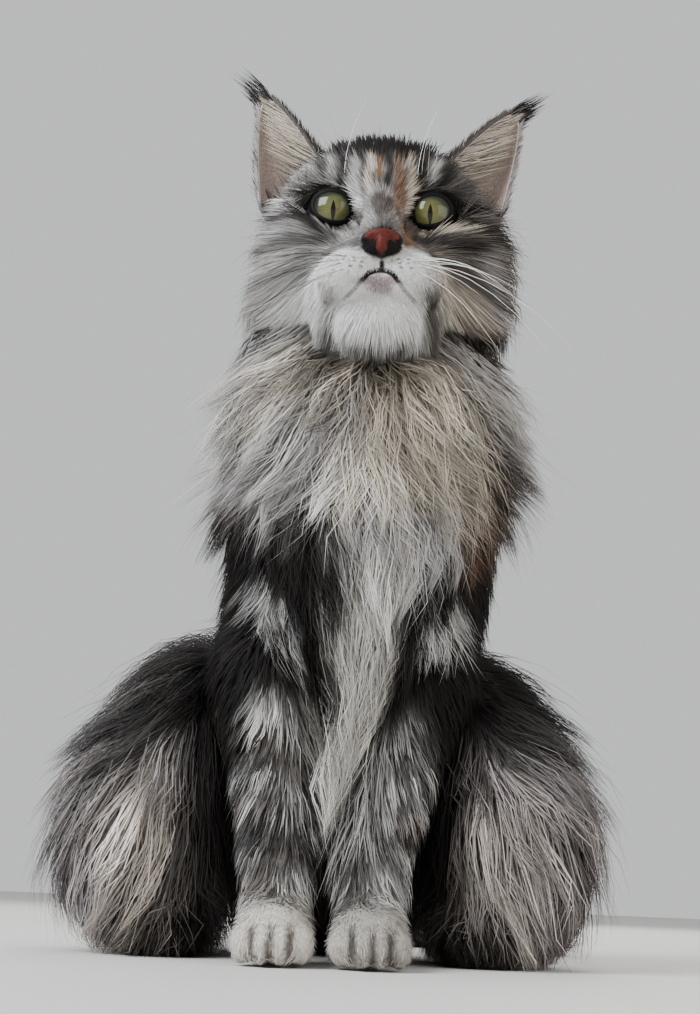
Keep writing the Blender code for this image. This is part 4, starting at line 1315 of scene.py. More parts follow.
def tuft_points(paths, widths, ups):
    """The corners of the tufts, ring by ring, and their points, and the way in which each one faces."""
    count, rings = len(paths), paths.shape[1] - 1
    along = np.gradient(paths, axis=1)
    side = unit(np.cross(along, ups[:, None, :]))
    above = unit(np.cross(side, along))
    half = widths[:, None, None] / 2 * np.array(STRAND_PROFILES[rings])[None, :, None]
    body, side, above = paths[:, :rings], side[:, :rings], above[:, :rings]
    corners = np.stack((body - side * half, body + side * half, body + above * half * 2 * FLATNESS), axis=2)
    points = np.concatenate((corners.reshape(count, rings * 3, 3), paths[:, rings:]), axis=1)
    points[:, :, 2] = np.maximum(points[:, :, 2], FLOOR_GAP)
    lean = np.stack((above * 0.4 - side, above * 0.4 + side, above), axis=2)
    facing = np.concatenate((unit(lean.reshape(count, rings * 3, 3)), above[:, -1:]), axis=1)
    return points, unit(facing * (1 - SOFTNESS) + ups[:, None] * SOFTNESS)


def tuft_mesh(name, paths, widths, ups, uv, colours):
    """Closed three-sided tapered tufts along the paths, each ending in a point, as one mesh.

    paths is (tufts, rings + 1, 3) and colours (tufts, rings + 1, 3).
    """
    count, places = paths.shape[:2]
    rings = places - 1
    points, facing = tuft_points(paths, widths, ups)
    faces = tuft_faces(rings)
    pattern = np.array([v for face in faces for v in face])
    first = np.cumsum([0] + [len(face) for face in faces[:-1]])
    each = rings * 3 + 1
    loops = (pattern[None] + np.arange(count)[:, None] * each).ravel()
    starts = (first[None] + np.arange(count)[:, None] * len(pattern)).ravel()
    mesh = bpy.data.meshes.new(name)
    mesh.vertices.add(count * each)
    mesh.vertices.foreach_set("co", points.ravel())
    mesh.loops.add(len(loops))
    mesh.loops.foreach_set("vertex_index", loops.astype(np.int32))
    mesh.polygons.add(len(starts))
    mesh.polygons.foreach_set("loop_start", starts.astype(np.int32))
    mesh.update(calc_edges=True)
    mesh.polygons.foreach_set("use_smooth", np.ones(len(starts), bool))
    across = np.concatenate((np.tile((-1, 1, 0), rings), (0,)))
    height = np.concatenate((np.repeat(np.arange(rings), 3), (rings,))) / rings
    own = np.stack((across, height * 2 - 1), axis=1) * PATCH / 2
    bake = (uv[:, None] + own[None])[:, pattern].reshape(-1, 2)
    mesh.uv_layers.new(name="OFBake").data.foreach_set("uv", bake.ravel())
    fibre = np.stack((across * 0.5 + 0.5, height), axis=1)[None] + np.arange(count)[:, None, None] * (0.37, 0)
    mesh.uv_layers.new(name="Fibre").data.foreach_set("uv", fibre[:, pattern].reshape(-1, 2).ravel())
    shade = np.concatenate((np.repeat(colours[:, :rings], 3, axis=1), colours[:, rings:]), axis=1)
    shade = np.concatenate((shade, np.ones(shade.shape[:2] + (1,))), axis=2)
    layer = mesh.color_attributes.new("coat", "FLOAT_COLOR", "POINT")
    layer.data.foreach_set("color", shade.ravel())
    mesh.update()
    mesh.normals_split_custom_set_from_vertices(facing.reshape(-1, 3))
    return add_object(name, mesh)


def tip_shades(colours, places, group, rng, tip_dark, height, long):
    """Colours along each tuft, varied by lock and by tuft, with painted shade that is darkest at the root and
    on the low-standing tufts of the undercoat.
    """
    count = len(colours)
    share = np.linspace(0, 1, places)[None, :, None]
    vary = rng.normal(0, 0.34, count)[group] + rng.normal(0, 0.20, count)
    bright = colours.mean(axis=1)
    vary = np.exp(vary * (1 - 0.70 * ease((bright - 0.40) / 0.4)))[:, None, None]
    # painted shade on the tufts that stand lowest, under the top coat
    under = (0.60 + 0.40 * ease((height - 0.30) / 0.45))[:, None, None]
    # painted shade at the root of each tuft, deeper in the long coat
    depth = (0.25 + 0.27 * long)[:, None, None]
    shade = 1 - depth + depth * np.sin(share * math.pi * 0.62) * 1.15
    shade = shade * (1 - long[:, None, None] * (1 - under))
    shade = shade * (1 - tip_dark[:, None, None] * ease((share - 0.55) / 0.45) * 0.8)
    return np.clip(colours[:, None] * shade * vary, 0, 0.95)


STRAY_SHARE = 0.09  # the share of tufts that stand loose of their locks

# Curls are the tufts with the most rings: the length that their waves grow with, as a share of their
# own and at least, and their extra width and waviness
CURL_RINGS = 6
CURL_LENGTH = 0.62
CURL_LEAST = 0.026
CURL_WIDTH = 1.05
CURL_WAVES = 0.22


def grow(name, table, count, wanted, rings, clump, seed, exact):
    """One piece of the coat over part of the skin."""
    rng = np.random.default_rng(seed)
    roots, uv = skin_roots(table, count, wanted, rng)
    distance = face_distance if exact else body_distance

    def out_of(points):
        return slope_and_distance(face_distance, points)[0] if exact else body_out(points)

    shares = zone_shares(roots)
    colours = coat_colours(roots, shares)
    sizes = coat_sizes(roots, shares)
    stray = rng.uniform(size=count) < STRAY_SHARE
    lengths = sizes[:, 0] * rng.uniform(0.65, 1.15, count) * np.where(stray, 1.12, 1.0)
    height = rng.uniform(0.25, 1.1, count)
    stands = sizes[:, 1] * height * np.where(stray, 1.35, 1.0)
    paths = laid_paths(roots, shares, lengths, stands, rings, distance, out_of, coat_flow)
    group = np.arange(count)
    if clump:
        tightness = clump[0] * rng.uniform(0.5, 1.35, count) * ~stray
        paths, group = clumped(paths, tightness, clump[1], rng)
    ups = out_of(roots)
    if rings == CURL_RINGS:
        lengths = np.maximum(lengths * CURL_LENGTH, CURL_LEAST)
        sizes = sizes * (1, 1, CURL_WIDTH, 1) + (0, 0, 0, CURL_WAVES)
    paths = waved(paths, ups, lengths, sizes[:, 3], group, rng)
    ticked = share_of(shares, "hindleg") + 0.6 * share_of(shares, "torso")
    long = ease((sizes[:, 0] - 0.012) / 0.025)
    shades = tip_shades(colours, rings + 1, group, rng, ticked * rng.uniform(0, 0.8, count), height, long)
    widths = sizes[:, 2] * rng.uniform(0.7, 1.3, count) * np.where(stray, 0.6, 1.0)
    return tuft_mesh(name, paths, widths, ups, uv, shades)


# Regions of the coat


def in_zone(table, *names):
    """How much some zones count together at each triangle of the skin."""
    return sum(share_of(table["shares"], name) for name in names)


def above_ground(table):
    return (table["body"][:, 2] > 0.004) | (table["normal"][:, 2] > -0.4)


def bare(table):
    """The eyes' sockets, the leather of the nose and the mouth's line, where no hair grows."""
    local = table["local"]
    found = (nose_share(local) > 0.5) & (local[:, 1] < -0.034)
    for (_, side), line in zip(SIDES, MOUTH_LINES):
        found |= (from_eye(local, side) < LID_HALF_WIDTH + 0.0012) & (local[:, 1] < 0.010)
        found |= polyline_distance(local, line[:5]) < 0.0010
    return found


def on_face(table):
    local = table["local"]
    front = (local[:, 1] < 0.016) & (np.linalg.norm(local - NOSE_TIP, axis=1) < 0.070)
    return (in_zone(table, "head") > 0.5) & front & ~bare(table) & ~table["ear"]


def on_head(table):
    return (in_zone(table, "head") > 0.4) & ~on_face(table) & ~bare(table) & ~table["ear"]


def on_neck(table):
    return (in_zone(table, "neck") > 0.5) & ~table["ear"] & (in_zone(table, "head") <= 0.4)


def on_collar(table):
    return on_neck(table) & (table["body"][:, 1] < 0.050)


def on_curls(table):
    """Under the jaw and the upper middle of the collar."""
    body = table["body"]
    middle = on_neck(table) & (body[:, 2] > 0.262) & (body[:, 1] < 0.030)
    return middle | ((in_zone(table, "head") > 0.4) & (throat_share(table["local"]) > 0.4))


def on_nape(table):
    return on_neck(table) & (table["body"][:, 1] >= 0.050)


def on_torso(table):
    return (in_zone(table, "torso") > 0.5) & above_ground(table)


def on_bib(table):
    body = table["body"]
    return on_torso(table) & (body[:, 1] < 0.055) & (body[:, 2] > 0.06) & ~on_streak(table)


def on_streak(table):
    """The front of the chest and the inner sides of the forelegs' tops, where the pale streak hangs."""
    body = table["body"]
    near = patch(body, (0.004, 0.010, 0.140), (0.022, 0.040, 0.060), 0.2) > 0.5
    return near & (table["normal"][:, 1] < -0.1) & (in_zone(table, "torso", "foreleg") > 0.5)


def on_back(table):
    return on_torso(table) & ~on_bib(table)


def on_haunch(side):
    def wanted(table):
        return (in_zone(table, "hindleg") > 0.5) & (table["body"][:, 0] * side > 0) & above_ground(table)

    return wanted


def on_foreleg(table):
    return (in_zone(table, "foreleg") > 0.5) & above_ground(table) & ~on_streak(table)


def on_paws(table):
    return (in_zone(table, "forepaw", "hindfoot") > 0.5) & above_ground(table)


def on_tail(table):
    return (in_zone(table, "tail") > 0.5) & above_ground(table)


# Coat pieces: name, slot, tufts, region, rings, clumping (tightness and tufts in a lock), and whether
# they lie on the face with its lids and mouth
COAT_PIECES = (
    ("coat_face", "coat_silver", 44000, on_face, 1, None, True),
    ("coat_head", "coat_silver", 9500, on_head, 3, (0.3, 12), True),
    ("coat_collar", "coat_pale", 8200, on_collar, 4, (0.80, 30), False),
    ("coat_curls", "coat_pale", 2800, on_curls, 6, (0.80, 26), False),
    ("coat_nape", "coat_dark", 3000, on_nape, 3, (0.55, 20), False),
    ("coat_bib", "coat_pale", 8200, on_bib, 4, (0.80, 30), False),
    ("coat_streak", "coat_pale", 2600, on_streak, 4, (0.74, 26), False),
    ("coat_back", "coat_dark", 4400, on_back, 3, (0.5, 20), False),
    ("coat_haunch_right", "coat_silver", 7600, on_haunch(-1), 3, (0.66, 26), False),
    ("coat_haunch_left", "coat_silver", 7600, on_haunch(1), 3, (0.66, 26), False),
    ("coat_forelegs", "coat_silver", 10000, on_foreleg, 2, (0.35, 10), False),
    ("coat_paws", "coat_pale", 12000, on_paws, 1, None, False),
    ("coat_tail", "coat_dark", 3400, on_tail, 3, (0.45, 18), False),
)


# Materials


def new_material(name, inputs):
    """A material whose shader has the given values."""
    material = bpy.data.materials.new(name)
    material.use_nodes = True
    shader = material.node_tree.nodes["Principled BSDF"]
    for key, value in inputs.items():
        shader.inputs[key].default_value = value
    return material, material.node_tree, shader


def add_node(tree, kind, inputs=(), **settings):
    node = tree.nodes.new(kind)
    for key, value in settings.items():
        setattr(node, key, value)
    for key, value in dict(inputs).items():
        node.inputs[key].default_value = value
    return node


def scaled(tree, vector, factor):
    """A vector or a colour times a factor."""
    times = add_node(tree, "ShaderNodeVectorMath", operation="SCALE")
    tree.links.new(vector, times.inputs[0])
    tree.links.new(factor, times.inputs["Scale"])
    return times.outputs["Vector"]


def spread_out(tree, value, low, high):
    """The middle part of a noise's values, made to run from low to high."""
    sizes = {"From Min": 0.3, "From Max": 0.7, "To Min": low, "To Max": high}
    spread = add_node(tree, "ShaderNodeMapRange", sizes)
    tree.links.new(value, spread.inputs["Value"])
    return spread.outputs["Result"]


def add_grain(tree, shader, colour, place, scale, low, high, strength, depth):
    """Lays the colour on the shader, varied from low to high by a noise that also roughens the surface."""
    noise = add_node(tree, "ShaderNodeTexNoise", {"Scale": scale, "Detail": 4.0})
    tree.links.new(place, noise.inputs["Vector"])
    shade = scaled(tree, colour, spread_out(tree, noise.outputs["Fac"], low, high))
    tree.links.new(shade, shader.inputs["Base Color"])
    bump = add_node(tree, "ShaderNodeBump", {"Strength": strength, "Distance": depth})
    tree.links.new(noise.outputs["Fac"], bump.inputs["Height"])
    tree.links.new(bump.outputs["Normal"], shader.inputs["Normal"])


def coat_material():
    """Hair: the markings with fine fibres along each tuft."""
    material, tree, shader = new_material("coat", {"Roughness": 0.6, "Specular IOR Level": 0.13})
    colour = add_node(tree, "ShaderNodeVertexColor", layer_name="coat")
    fibre = add_node(tree, "ShaderNodeUVMap", uv_map="Fibre")
    stretch = add_node(tree, "ShaderNodeMapping", {"Scale": (9.0, 1.2, 1.0)})
    tree.links.new(fibre.outputs["UV"], stretch.inputs["Vector"])
    place = stretch.outputs["Vector"]
    add_grain(tree, shader, colour.outputs["Color"], place, 1.6, 0.78, 1.22, 0.35, 0.0003)
    return material


def skin_material(name="skin", roughness=0.7):
    """Skin under the coat, with the same markings, or bare leather, with a fine grain."""
    material, tree, shader = new_material(name, {"Roughness": roughness, "Specular IOR Level": 0.15})
    colour = add_node(tree, "ShaderNodeVertexColor", layer_name="coat")
    place = add_node(tree, "ShaderNodeTexCoord").outputs["Object"]
    add_grain(tree, shader, colour.outputs["Color"], place, 900.0, 0.7, 1.15, 0.5, 0.0006)
    return material


def plain_material(name, colour, roughness, scale, low=0.8, high=1.2, depth=0.0002):
    """A colour with a grain of the given scale."""
    sizes = {"Roughness": roughness, "Specular IOR Level": 0.12, "Coat Roughness": 0.12}
    material, tree, shader = new_material(name, sizes)
    base = add_node(tree, "ShaderNodeRGB")
    base.outputs[0].default_value = (*colour, 1)
    place = add_node(tree, "ShaderNodeTexCoord").outputs["Object"]
    add_grain(tree, shader, base.outputs[0], place, scale, low, high, 0.6, depth)
    return material


# Eyes

CORNEA_HEIGHT = 0.0004
PUPIL_HALF_WIDTH = 0.0013
PUPIL_HALF_HEIGHT = 0.0056
PUPIL_SHARPNESS = 5000.0
IRIS_RADIUS = 0.0106
IRIS_RAYS = 14.0
IRIS_RAY_BREAKS = 260.0
IRIS_WOBBLE = 0.16
# Colours of the iris from the middle out, by the share of its radius
IRIS_STOPS = (
    (0.00, (0.120, 0.098, 0.028)),
    (0.30, (0.112, 0.108, 0.034)),
    (0.66, (0.062, 0.070, 0.026)),
    (0.80, (0.016, 0.018, 0.009)),
    (0.95, (0.006, 0.005, 0.005)),
)


def colour_ramp(tree, stops):
    ramp = add_node(tree, "ShaderNodeValToRGB")
    elements = ramp.color_ramp.elements
    elements.remove(elements[1])
    for index, (stop, colour) in enumerate(stops):
        element = elements.new(stop) if index else elements[0]
        element.position = stop
        element.color = (*colour, 1)
    return ramp


def eye_material():
    """An olive iris with fine rays round an upright slit of a pupil, in the eyeball's own coordinates."""
    wet = {"Roughness": 0.18, "Specular IOR Level": 0.1, "Coat Weight": 0.55, "Coat Roughness": 0.015}
    material, tree, shader = new_material("eye", wet)
    place = add_node(tree, "ShaderNodeTexCoord")
    parts = add_node(tree, "ShaderNodeSeparateXYZ")
    tree.links.new(place.outputs["Object"], parts.inputs["Vector"])

    def math_node(operation, first, second=None, clamp=False):
        node = add_node(tree, "ShaderNodeMath", operation=operation, use_clamp=clamp)
        for socket, value in zip(node.inputs, (first, second)):
            if value is None:
                continue
            if isinstance(value, (int, float)):
                socket.default_value = value
            else:
                tree.links.new(value, socket)
        return node.outputs["Value"]

    x, z = parts.outputs["X"], parts.outputs["Z"]
    radius = math_node("SQRT", math_node("ADD", math_node("MULTIPLY", x, x), math_node("MULTIPLY", z, z)))
    turn = math_node("ARCTAN2", x, z)
    rays_at = add_node(tree, "ShaderNodeCombineXYZ")
    tree.links.new(math_node("MULTIPLY", turn, IRIS_RAYS), rays_at.inputs["X"])
    tree.links.new(math_node("MULTIPLY", radius, IRIS_RAY_BREAKS), rays_at.inputs["Y"])
    rays = add_node(tree, "ShaderNodeTexNoise", {"Scale": 1.0, "Detail": 5.0, "Roughness": 0.7})
    tree.links.new(rays_at.outputs["Vector"], rays.inputs["Vector"])
    ramp = colour_ramp(tree, IRIS_STOPS)
    share = math_node("DIVIDE", radius, IRIS_RADIUS)
    wobble = math_node("MULTIPLY", math_node("SUBTRACT", rays.outputs["Fac"], 0.5), IRIS_WOBBLE)
    tree.links.new(math_node("ADD", share, wobble), ramp.inputs["Fac"])
    iris = scaled(tree, ramp.outputs["Color"], spread_out(tree, rays.outputs["Fac"], 0.65, 1.4))
    height = math_node("DIVIDE", z, PUPIL_HALF_HEIGHT)
    taper = math_node("SUBTRACT", 1.0, math_node("MULTIPLY", height, height))
    edge = math_node("SUBTRACT", math_node("MULTIPLY", taper, PUPIL_HALF_WIDTH), math_node("ABSOLUTE", x))
    pupil = math_node("MULTIPLY", edge, PUPIL_SHARPNESS, clamp=True)
    off_pupil = math_node("SUBTRACT", 1.0, pupil)
    tree.links.new(scaled(tree, iris, off_pupil), shader.inputs["Base Color"])
    return material


CAMERA_PLACE = PLACE @ Vector((0.005, -0.655, 0.03))
GAZE_PLACE = CAMERA_PLACE + Vector((0, 0, 0.06))  # where the cat looks, a little over the camera


def build_eye(name, side):
    """An eyeball with a cornea that stands a little forward, turned so that it looks at the viewer."""
    rows, columns = 40, 72
    points = [(0, -BALL_RADIUS - CORNEA_HEIGHT, 0)]
    for row in range(1, rows):
        angle = math.pi * row / rows
        reach = BALL_RADIUS + CORNEA_HEIGHT * math.cos(min(angle * 1.6, math.pi / 2))
        wide = reach * math.sin(angle)
        for column in range(columns):
            turn = math.tau * column / columns
            points.append((wide * math.cos(turn), -reach * math.cos(angle), wide * math.sin(turn)))
    points.append((0, BALL_RADIUS, 0))
    faces = [(0, 1 + (c + 1) % columns, 1 + c) for c in range(columns)]
    faces += grid_faces(rows - 1, columns, closed=True, first=1)
    back, last = len(points) - 1, 1 + (rows - 2) * columns
    faces += [(last + c, last + (c + 1) % columns, back) for c in range(columns)]
    obj = add_object(name, mesh_of(name, points, faces))
    centre = HEAD @ Vector((side * EYE_SPACING / 2, BALL_MIDDLE, 0))
    gaze = (GAZE_PLACE - centre).normalized()
    across = Vector((0, 0, 1)).cross(-gaze).normalized()
    turn = Matrix((across, -gaze, across.cross(-gaze))).transposed()
    obj.matrix_world = Matrix.Translation(centre) @ turn.to_4x4()
    return obj


LID_STEPS = 72
# The section of a lid's rim: how far out from the opening's edge, and how far over the eyeball
LID_PROFILE = ((-0.0013, 0.0001), (-0.0006, 0.0007), (0.0003, 0.0010), (0.0012, 0.0006), (0.0022, -0.0008))


def build_lids():
    """The dark rims of both eyes, as strips lofted from the eyeball out to the skin."""
    points, faces = [], []
    for _, side in SIDES:
        first = len(points)
        for grow_by, raised in LID_PROFILE:
            points += [HEAD @ Vector(place) for place in lid_ring(side, grow_by, raised, LID_STEPS)]
        strip = grid_faces(len(LID_PROFILE), LID_STEPS, closed=True, first=first)
        faces += [face[::-1] for face in strip] if side < 0 else strip
    return add_object("lids", mesh_of("lids", points, faces))


# Nose

NOSE_VOXEL = 0.0004


def nose_forms():
    forms = [
        ball((0, -0.0408, -0.0248), (0.0086, 0.0070, 0.0032), (-20, 0, 0), 0.003),
        ball((0, -0.0420, -0.0288), (0.0034, 0.0068, 0.0056), (0, 0, 0), 0.003),
    ]
    for _, side in SIDES:
        middle, turn = (side * 0.0062, -0.0405, -0.0258), (0, side * 22, side * 20)
        forms.append(ball(middle, (0.0036, 0.0058, 0.0030), turn, 0.002))
    return [moved(form, HEAD) for form in forms]


def nostril_line(side):
    """The comma of a nostril: from its hole by the middle out and up under the wing."""
    points = ((0.0040, -0.0478, -0.0296), (0.0062, -0.0465, -0.0284), (0.0092, -0.0430, -0.0262))
    return [(side * x, y, z) for x, y, z in points]


def nose_distance(points):
    local = to_head(points)
    total = smooth_distance(NOSE_FORMS, points)
    for _, side in SIDES:
        hole = rod((side * 0.0044, -0.0500, -0.0290), (side * 0.0038, -0.0440, -0.0282), 0.0014, 0.0009)
        total = carved(total, form_distance(hole, local), 0.0010)
        total = carved(total, polyline_distance(local, nostril_line(side)) - 0.0007, 0.0010)
    groove = polyline_distance(local, [(0, -0.0488, -0.0250), (0, -0.0500, -0.0360)]) - 0.0004
    return carved(total, groove, 0.0012)


NOSE_FORMS = nose_forms()


def build_nose():
    """The leather of the nose, black at its rim, with painted shade black in its nostrils."""
    obj = remeshed("nose", NOSE_FORMS, NOSE_VOXEL)
    put_points(obj.data, settle(nose_distance, points_of(obj.data), rounds=5))
    local = to_head(points_of(obj.data))
    colours = evenly(local, NOSE_RED)
    for _, side in SIDES:
        # painted shade: black in the openings of the nostrils
        colours = lay_over(colours, DARK, stroke(local, nostril_line(side), 0.0013, 1.0))
    across = np.abs(local[:, 0]) - 0.0078 * ease((local[:, 2] + 0.0345) / 0.0095)
    colours = lay_over(colours, DARK, ease((across + 0.0004) / 0.0012))
    put_colours(obj.data, colours)
    obj.data.shade_smooth()
    return obj


# Whiskers and brow hairs

WHISKER_WIDTH = 0.00034
WHISKERS_IN_ROW = 5
MUZZLE_HALF_WIDTH = 0.027
BARE_SHARE = 0.35  # the middle part of the muzzle, without whiskers
MISSING_SHARE = 0.15
WHISKER_RINGS = 6
WHISKER_WHITE = (0.9, 0.89, 0.87)


def hair_lines(starts, aheads, bends, lengths, steps):
    """Curved lines of hairs, from their starts, directions and bends in the head's frame."""
    share = np.linspace(0, 1, steps + 1)[None, :, None]
    lengths = lengths[:, None, None]
    aheads = (unit(aheads) @ HEAD_TURN.T)[:, None]
    bends = (bends @ HEAD_TURN.T)[:, None]
    return from_head(starts)[:, None] + aheads * lengths * share + bends * lengths * share**2


# Each side's whiskers: their usual length, how steeply they may leave the muzzle, how far they droop
WHISKER_SETS = {-1: (0.050, 0.10, 0.20), 1: (0.073, 0.12, 0.42)}


def build_whiskers(table):
    """Long white whiskers in rows on the muzzle, which droop more on the left, and thin brow hairs."""
    rng = np.random.default_rng(71)
    starts, aheads, bends, lengths = [], [], [], []
    for _, side in SIDES:
        usual, drop, droop = WHISKER_SETS[side]
        for index, spot in enumerate(WHISKER_SPOTS[side]):
            out = abs(spot[0]) / MUZZLE_HALF_WIDTH
            if out < BARE_SHARE or rng.uniform() < MISSING_SHARE:
                continue
            row = index // WHISKERS_IN_ROW
            starts.append(spot + (0, 0.0006, 0))
            aheads.append((side * 0.9, -0.30 + 0.25 * out, 0.12 - 0.22 * row - drop * rng.uniform()))
            bends.append((-side * 0.08, 0.25, -droop * rng.uniform(0.5, 1.1)))
            lengths.append(usual * rng.uniform(0.55, 1.15))
        for step in range(4):
            starts.append(on_skin(np.array([(side * (0.0185 + 0.0025 * step), -0.012, 0.0150)]))[0])
            aheads.append((side * rng.uniform(-0.1, 0.5), -0.35, 0.9))
            bends.append((side * rng.uniform(-0.3, 0.3), 0.25, 0.05))
            lengths.append(rng.uniform(0.025, 0.045))
    arrays = [np.array(values, float) for values in (starts, aheads, bends, lengths)]
    paths = hair_lines(*arrays, WHISKER_RINGS)
    count = len(paths)
    ups = unit(np.cross(paths[:, -1] - paths[:, 0], (0.13, 0.2, 0.9)))
    colours = np.tile(np.array(WHISKER_WHITE), (count, WHISKER_RINGS + 1, 1))
    widths = np.full(count, WHISKER_WIDTH)
    return tuft_mesh("whiskers", paths, widths, ups, nearest_uv(table, paths[:, 0]), colours)


# Hair of the ears


def mixed_shades(rng, count, common, rare, share, low=0.6, high=1.25):
    """Colours for hairs, most of them of one colour and the rest of another, each a little different."""
    pick = rng.uniform(size=(count, 1)) < share
    return np.where(pick, np.array([common]), np.array([rare])) * rng.uniform(low, high, (count, 1))


EAR_HAIR_RINGS = 2
# painted shade: the ears' hairs are darker at the root
EAR_HAIR_SHADES = (0.75, 1.0, 1.1)  # from the root to the tip
LYNX_LOW = 0.88
# How many hairs each batch of an ear's hair has
EAR_HAIRS = {"back": 1500, "rim": 420, "lining": 1200, "streaks": 1500, "foot": 800, "lynx tip": 340}


def ear_batches(side, rng):
    """The hairs of one ear in batches: starts, directions, bends, lengths, facing, colours and width."""
    base, axis, front, across = (np.array(v) for v in ear_frame(side))
    edge = 1 if across[0] * side > 0 else -1
    outward = across * edge

    def spread(count, low, high, first, last, wall):
        heights = rng.uniform(low, high, count)
        shares = first + (last - first) * rng.uniform(size=count)
        starts = ear_points(side, heights, shares, wall)
        middle = base + axis * (EAR_LENGTH * heights)[:, None]
        jitter = rng.normal(0, 0.07, (count, 3))
        return heights, starts, unit(starts - middle), jitter

    count = EAR_HAIRS["back"]
    heights, starts, away, jitter = spread(count, 0.0, 0.98, -1, 1, 0)
    back = mixed_shades(rng, count, BROWN, GREY, 0.7)
    lengths = rng.uniform(0.006, 0.011, count) * (1 - 0.4 * heights)
    yield starts, axis + away * 0.10 + jitter, away * 0.03, lengths, away, back, 0.0006

    count = EAR_HAIRS["rim"]
    for first, last, colour in ((-1.0, -0.96, GREY), (0.96, 1.0, SILVER)):
        heights, starts, away, jitter = spread(count, 0.0, 0.97, edge * first, edge * last, 0.5)
        rim = mixed_shades(rng, count, colour, GREY, 0.8, 0.7, 1.1)
        lengths = rng.uniform(0.0035, 0.0065, count)
        yield starts, axis + front * 0.10 + jitter, away * 0.05, lengths, front, rim, 0.0005

    count = EAR_HAIRS["lining"]
    heights, starts, away, jitter = spread(count, 0.0, 0.97, -0.96, 0.96, 1)
    lining = mixed_shades(rng, count, EAR_SKIN, CREAM, 0.6, 0.75, 1.15)
    lengths = rng.uniform(0.006, 0.011, count) * (1 - 0.4 * heights)
    aheads = axis * 0.8 + outward * 0.5 - away * 0.08 + jitter
    yield starts, aheads, away * 0.05, lengths, -away, lining, 0.0005

    count = EAR_HAIRS["streaks"]
    heights, starts, away, jitter = spread(count, -0.02, 0.86, -edge * 0.45, -edge * 0.98, 1)
    streaks = mixed_shades(rng, count, CREAM, GREY, 0.80, 0.6, 1.2)
    aheads = outward * 0.78 + axis * rng.uniform(0.45, 0.95, (count, 1))
    aheads = aheads + front * rng.uniform(0.0, 0.22, (count, 1))
    lengths = rng.uniform(0.026, 0.046, count) * (1 - 0.72 * heights)
    yield starts, aheads, axis * 0.25 - front * 0.12, lengths, front, streaks, 0.0005

    count = EAR_HAIRS["foot"]
    heights, starts, away, jitter = spread(count, -0.05, 0.20, -0.75, 0.75, 1)
    foot = mixed_shades(rng, count, GREY, CREAM, 0.60, 0.6, 1.2)
    lengths = rng.uniform(0.009, 0.018, count)
    aheads = axis * 0.9 + front * 0.35 + outward * rng.uniform(-0.2, 0.3, (count, 1)) + jitter
    yield starts, aheads, outward * 0.15, lengths, front, foot, 0.0006

    count = EAR_HAIRS["lynx tip"]
    heights, starts, away, jitter = spread(count, LYNX_LOW, 1.0, -0.7, 0.7, 0)
    lynx = mixed_shades(rng, count, DARK, GREY, 0.75, 0.8, 2.5)
    lengths = rng.uniform(0.008, 0.030, count) * (0.3 + 0.7 * (heights - LYNX_LOW) / 0.12)
    aheads = axis + outward * rng.uniform(0.05, 0.30, (count, 1)) + jitter * 0.5 - away * 0.06
    yield starts, aheads, outward * 0.25, lengths, front, lynx, 0.0005


def ear_tufts(table):
    """Fur on the backs, the rims and inside the ears, and the lynx tips."""
    rng = np.random.default_rng(81)
    made = []
    for _, side in SIDES:
        for starts, aheads, bends, lengths, ups, colours, width in ear_batches(side, rng):
            count = len(starts)
            bends = np.zeros((count, 3)) + bends
            ups = np.zeros((count, 3)) + ups
            paths = hair_lines(starts, aheads, bends, lengths, EAR_HAIR_RINGS)
            made.append((paths, ups @ HEAD_TURN.T, colours, np.full(count, width)))
    paths, ups, colours, widths = (np.concatenate(parts) for parts in zip(*made))
    # painted shade at the roots of the ears' hairs
    shades = colours[:, None] * np.array(EAR_HAIR_SHADES)[None, :, None]
    return tuft_mesh("coat_ears", paths, widths, ups, nearest_uv(table, paths[:, 0]), shades)


def colour_skin(obj):
    """Lays the markings on the skin itself, darkened as painted shade under the coat; the insides of the ears
    are bare pink-grey skin.
    """
    points = points_of(obj.data)
    shares = zone_shares(points)
    # painted shade: the skin under the coat is darker than the coat's own colours
    colours = coat_colours(points, shares) * 0.75
    ear = (head_distance(points) > EAR_RISE) & (to_head(points)[:, 2] > 0.018)
    colours[ear] = EAR_SKIN
    put_colours(obj.data, colours)


def dress(obj, material, slot_name, *nodes):
    """Gives a piece its material and its body, and hides the solids that it stands for."""
    obj.data.materials.clear()
    obj.data.materials.append(material)
    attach(obj, "root")
    if nodes:
        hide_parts(*nodes)


# Floor, camera and lights


FLOOR_RADIUS = 6
LOOK_AT = Vector((0, 0, 0.22))
# Name, place, size, power and colour
LIGHTS = (
    ("window light", (-1.1, -1.0, 1.15), 1.0, 48, (0.93, 0.97, 1.0)),
    ("fill light", (1.2, -0.9, 0.5), 1.2, 12, (1.0, 0.96, 0.90)),
    ("rear light", (0.3, 1.3, 1.2), 1.2, 22, (1.0, 0.99, 0.97)),
)


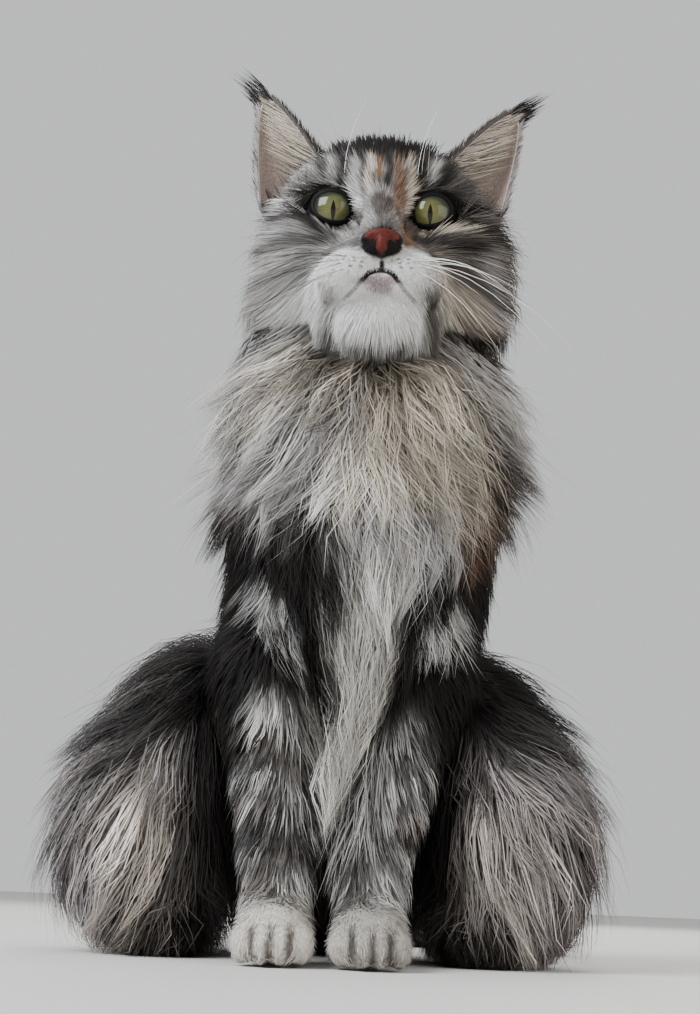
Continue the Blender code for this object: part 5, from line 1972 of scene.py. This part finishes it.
def build_stage():
    """A round plain floor, a grey studio round it and three soft lights."""
    steps = 96
    points = [(0, 0, 0)]
    for step in range(steps):
        turn = math.tau * step / steps
        points.append((FLOOR_RADIUS * math.cos(turn), FLOOR_RADIUS * math.sin(turn), 0))
    faces = [(0, 1 + k, 1 + (k + 1) % steps) for k in range(steps)]
    floor = add_object("floor", mesh_of("floor", points, faces, smooth=False))
    floor.data.materials.append(plain_material("floor", (0.62, 0.61, 0.59), 0.75, 3.0, 0.97, 1.03, 0.0001))
    world = bpy.data.worlds.new("studio")
    bpy.context.scene.world = world
    world.use_nodes = True
    background = world.node_tree.nodes["Background"]
    background.inputs["Color"].default_value = (0.80, 0.81, 0.82, 1)
    background.inputs["Strength"].default_value = 0.9
    for name, place, size, power, colour in LIGHTS:
        light = bpy.data.lights.new(name, "AREA")
        light.size = size
        light.energy = power
        light.color = colour
        obj = add_object(name, light)
        obj.location = place
        obj.rotation_euler = (LOOK_AT - Vector(place)).to_track_quat("-Z", "Y").to_euler()


PHOTO_HEIGHT = 1014
FOCAL_PIXELS = 1400
SENSOR = 36
CAMERA_TILT = math.radians(105.6)
CAMERA_ROLL = math.radians(2.3)


def build_camera():
    """Low in front of the cat and looking up, as the photo was taken."""
    camera = bpy.data.cameras.new("camera")
    camera.sensor_width = SENSOR
    camera.lens = FOCAL_PIXELS / PHOTO_HEIGHT * SENSOR
    camera.clip_start = 0.01
    obj = add_object("camera", camera)
    turn = Matrix.Rotation(CAMERA_TILT, 4, "X") @ Matrix.Rotation(CAMERA_ROLL, 4, "Z")
    obj.matrix_world = Matrix.Translation(CAMERA_PLACE) @ turn
    bpy.context.scene.camera = obj


FIRST_SEED = 101

skin = build_skin()
colour_skin(skin)
FLESH = [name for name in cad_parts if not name.startswith("eye")]
dress(skin, skin_material(), "coat_silver", *FLESH)
table = skin_table(skin)
hair = coat_material()
for seed, (name, slot_name, count, wanted, rings, clump, exact) in enumerate(COAT_PIECES, FIRST_SEED):
    dress(grow(name, table, count, wanted, rings, clump, seed, exact), hair, slot_name)
dress(ear_tufts(table), hair, "coat_silver")
for side_name, side_sign in SIDES:
    dress(build_eye("eyeball_" + side_name, side_sign), eye_material(), "eye", "eye_" + side_name)
dress(build_lids(), plain_material("lid", (0.003, 0.0025, 0.0025), 0.6, 700.0), "coat_dark")
dress(build_nose(), skin_material("nose leather", 0.5), "coat_dark")
dress(build_whiskers(table), hair, "coat_pale")
build_stage()
build_camera()
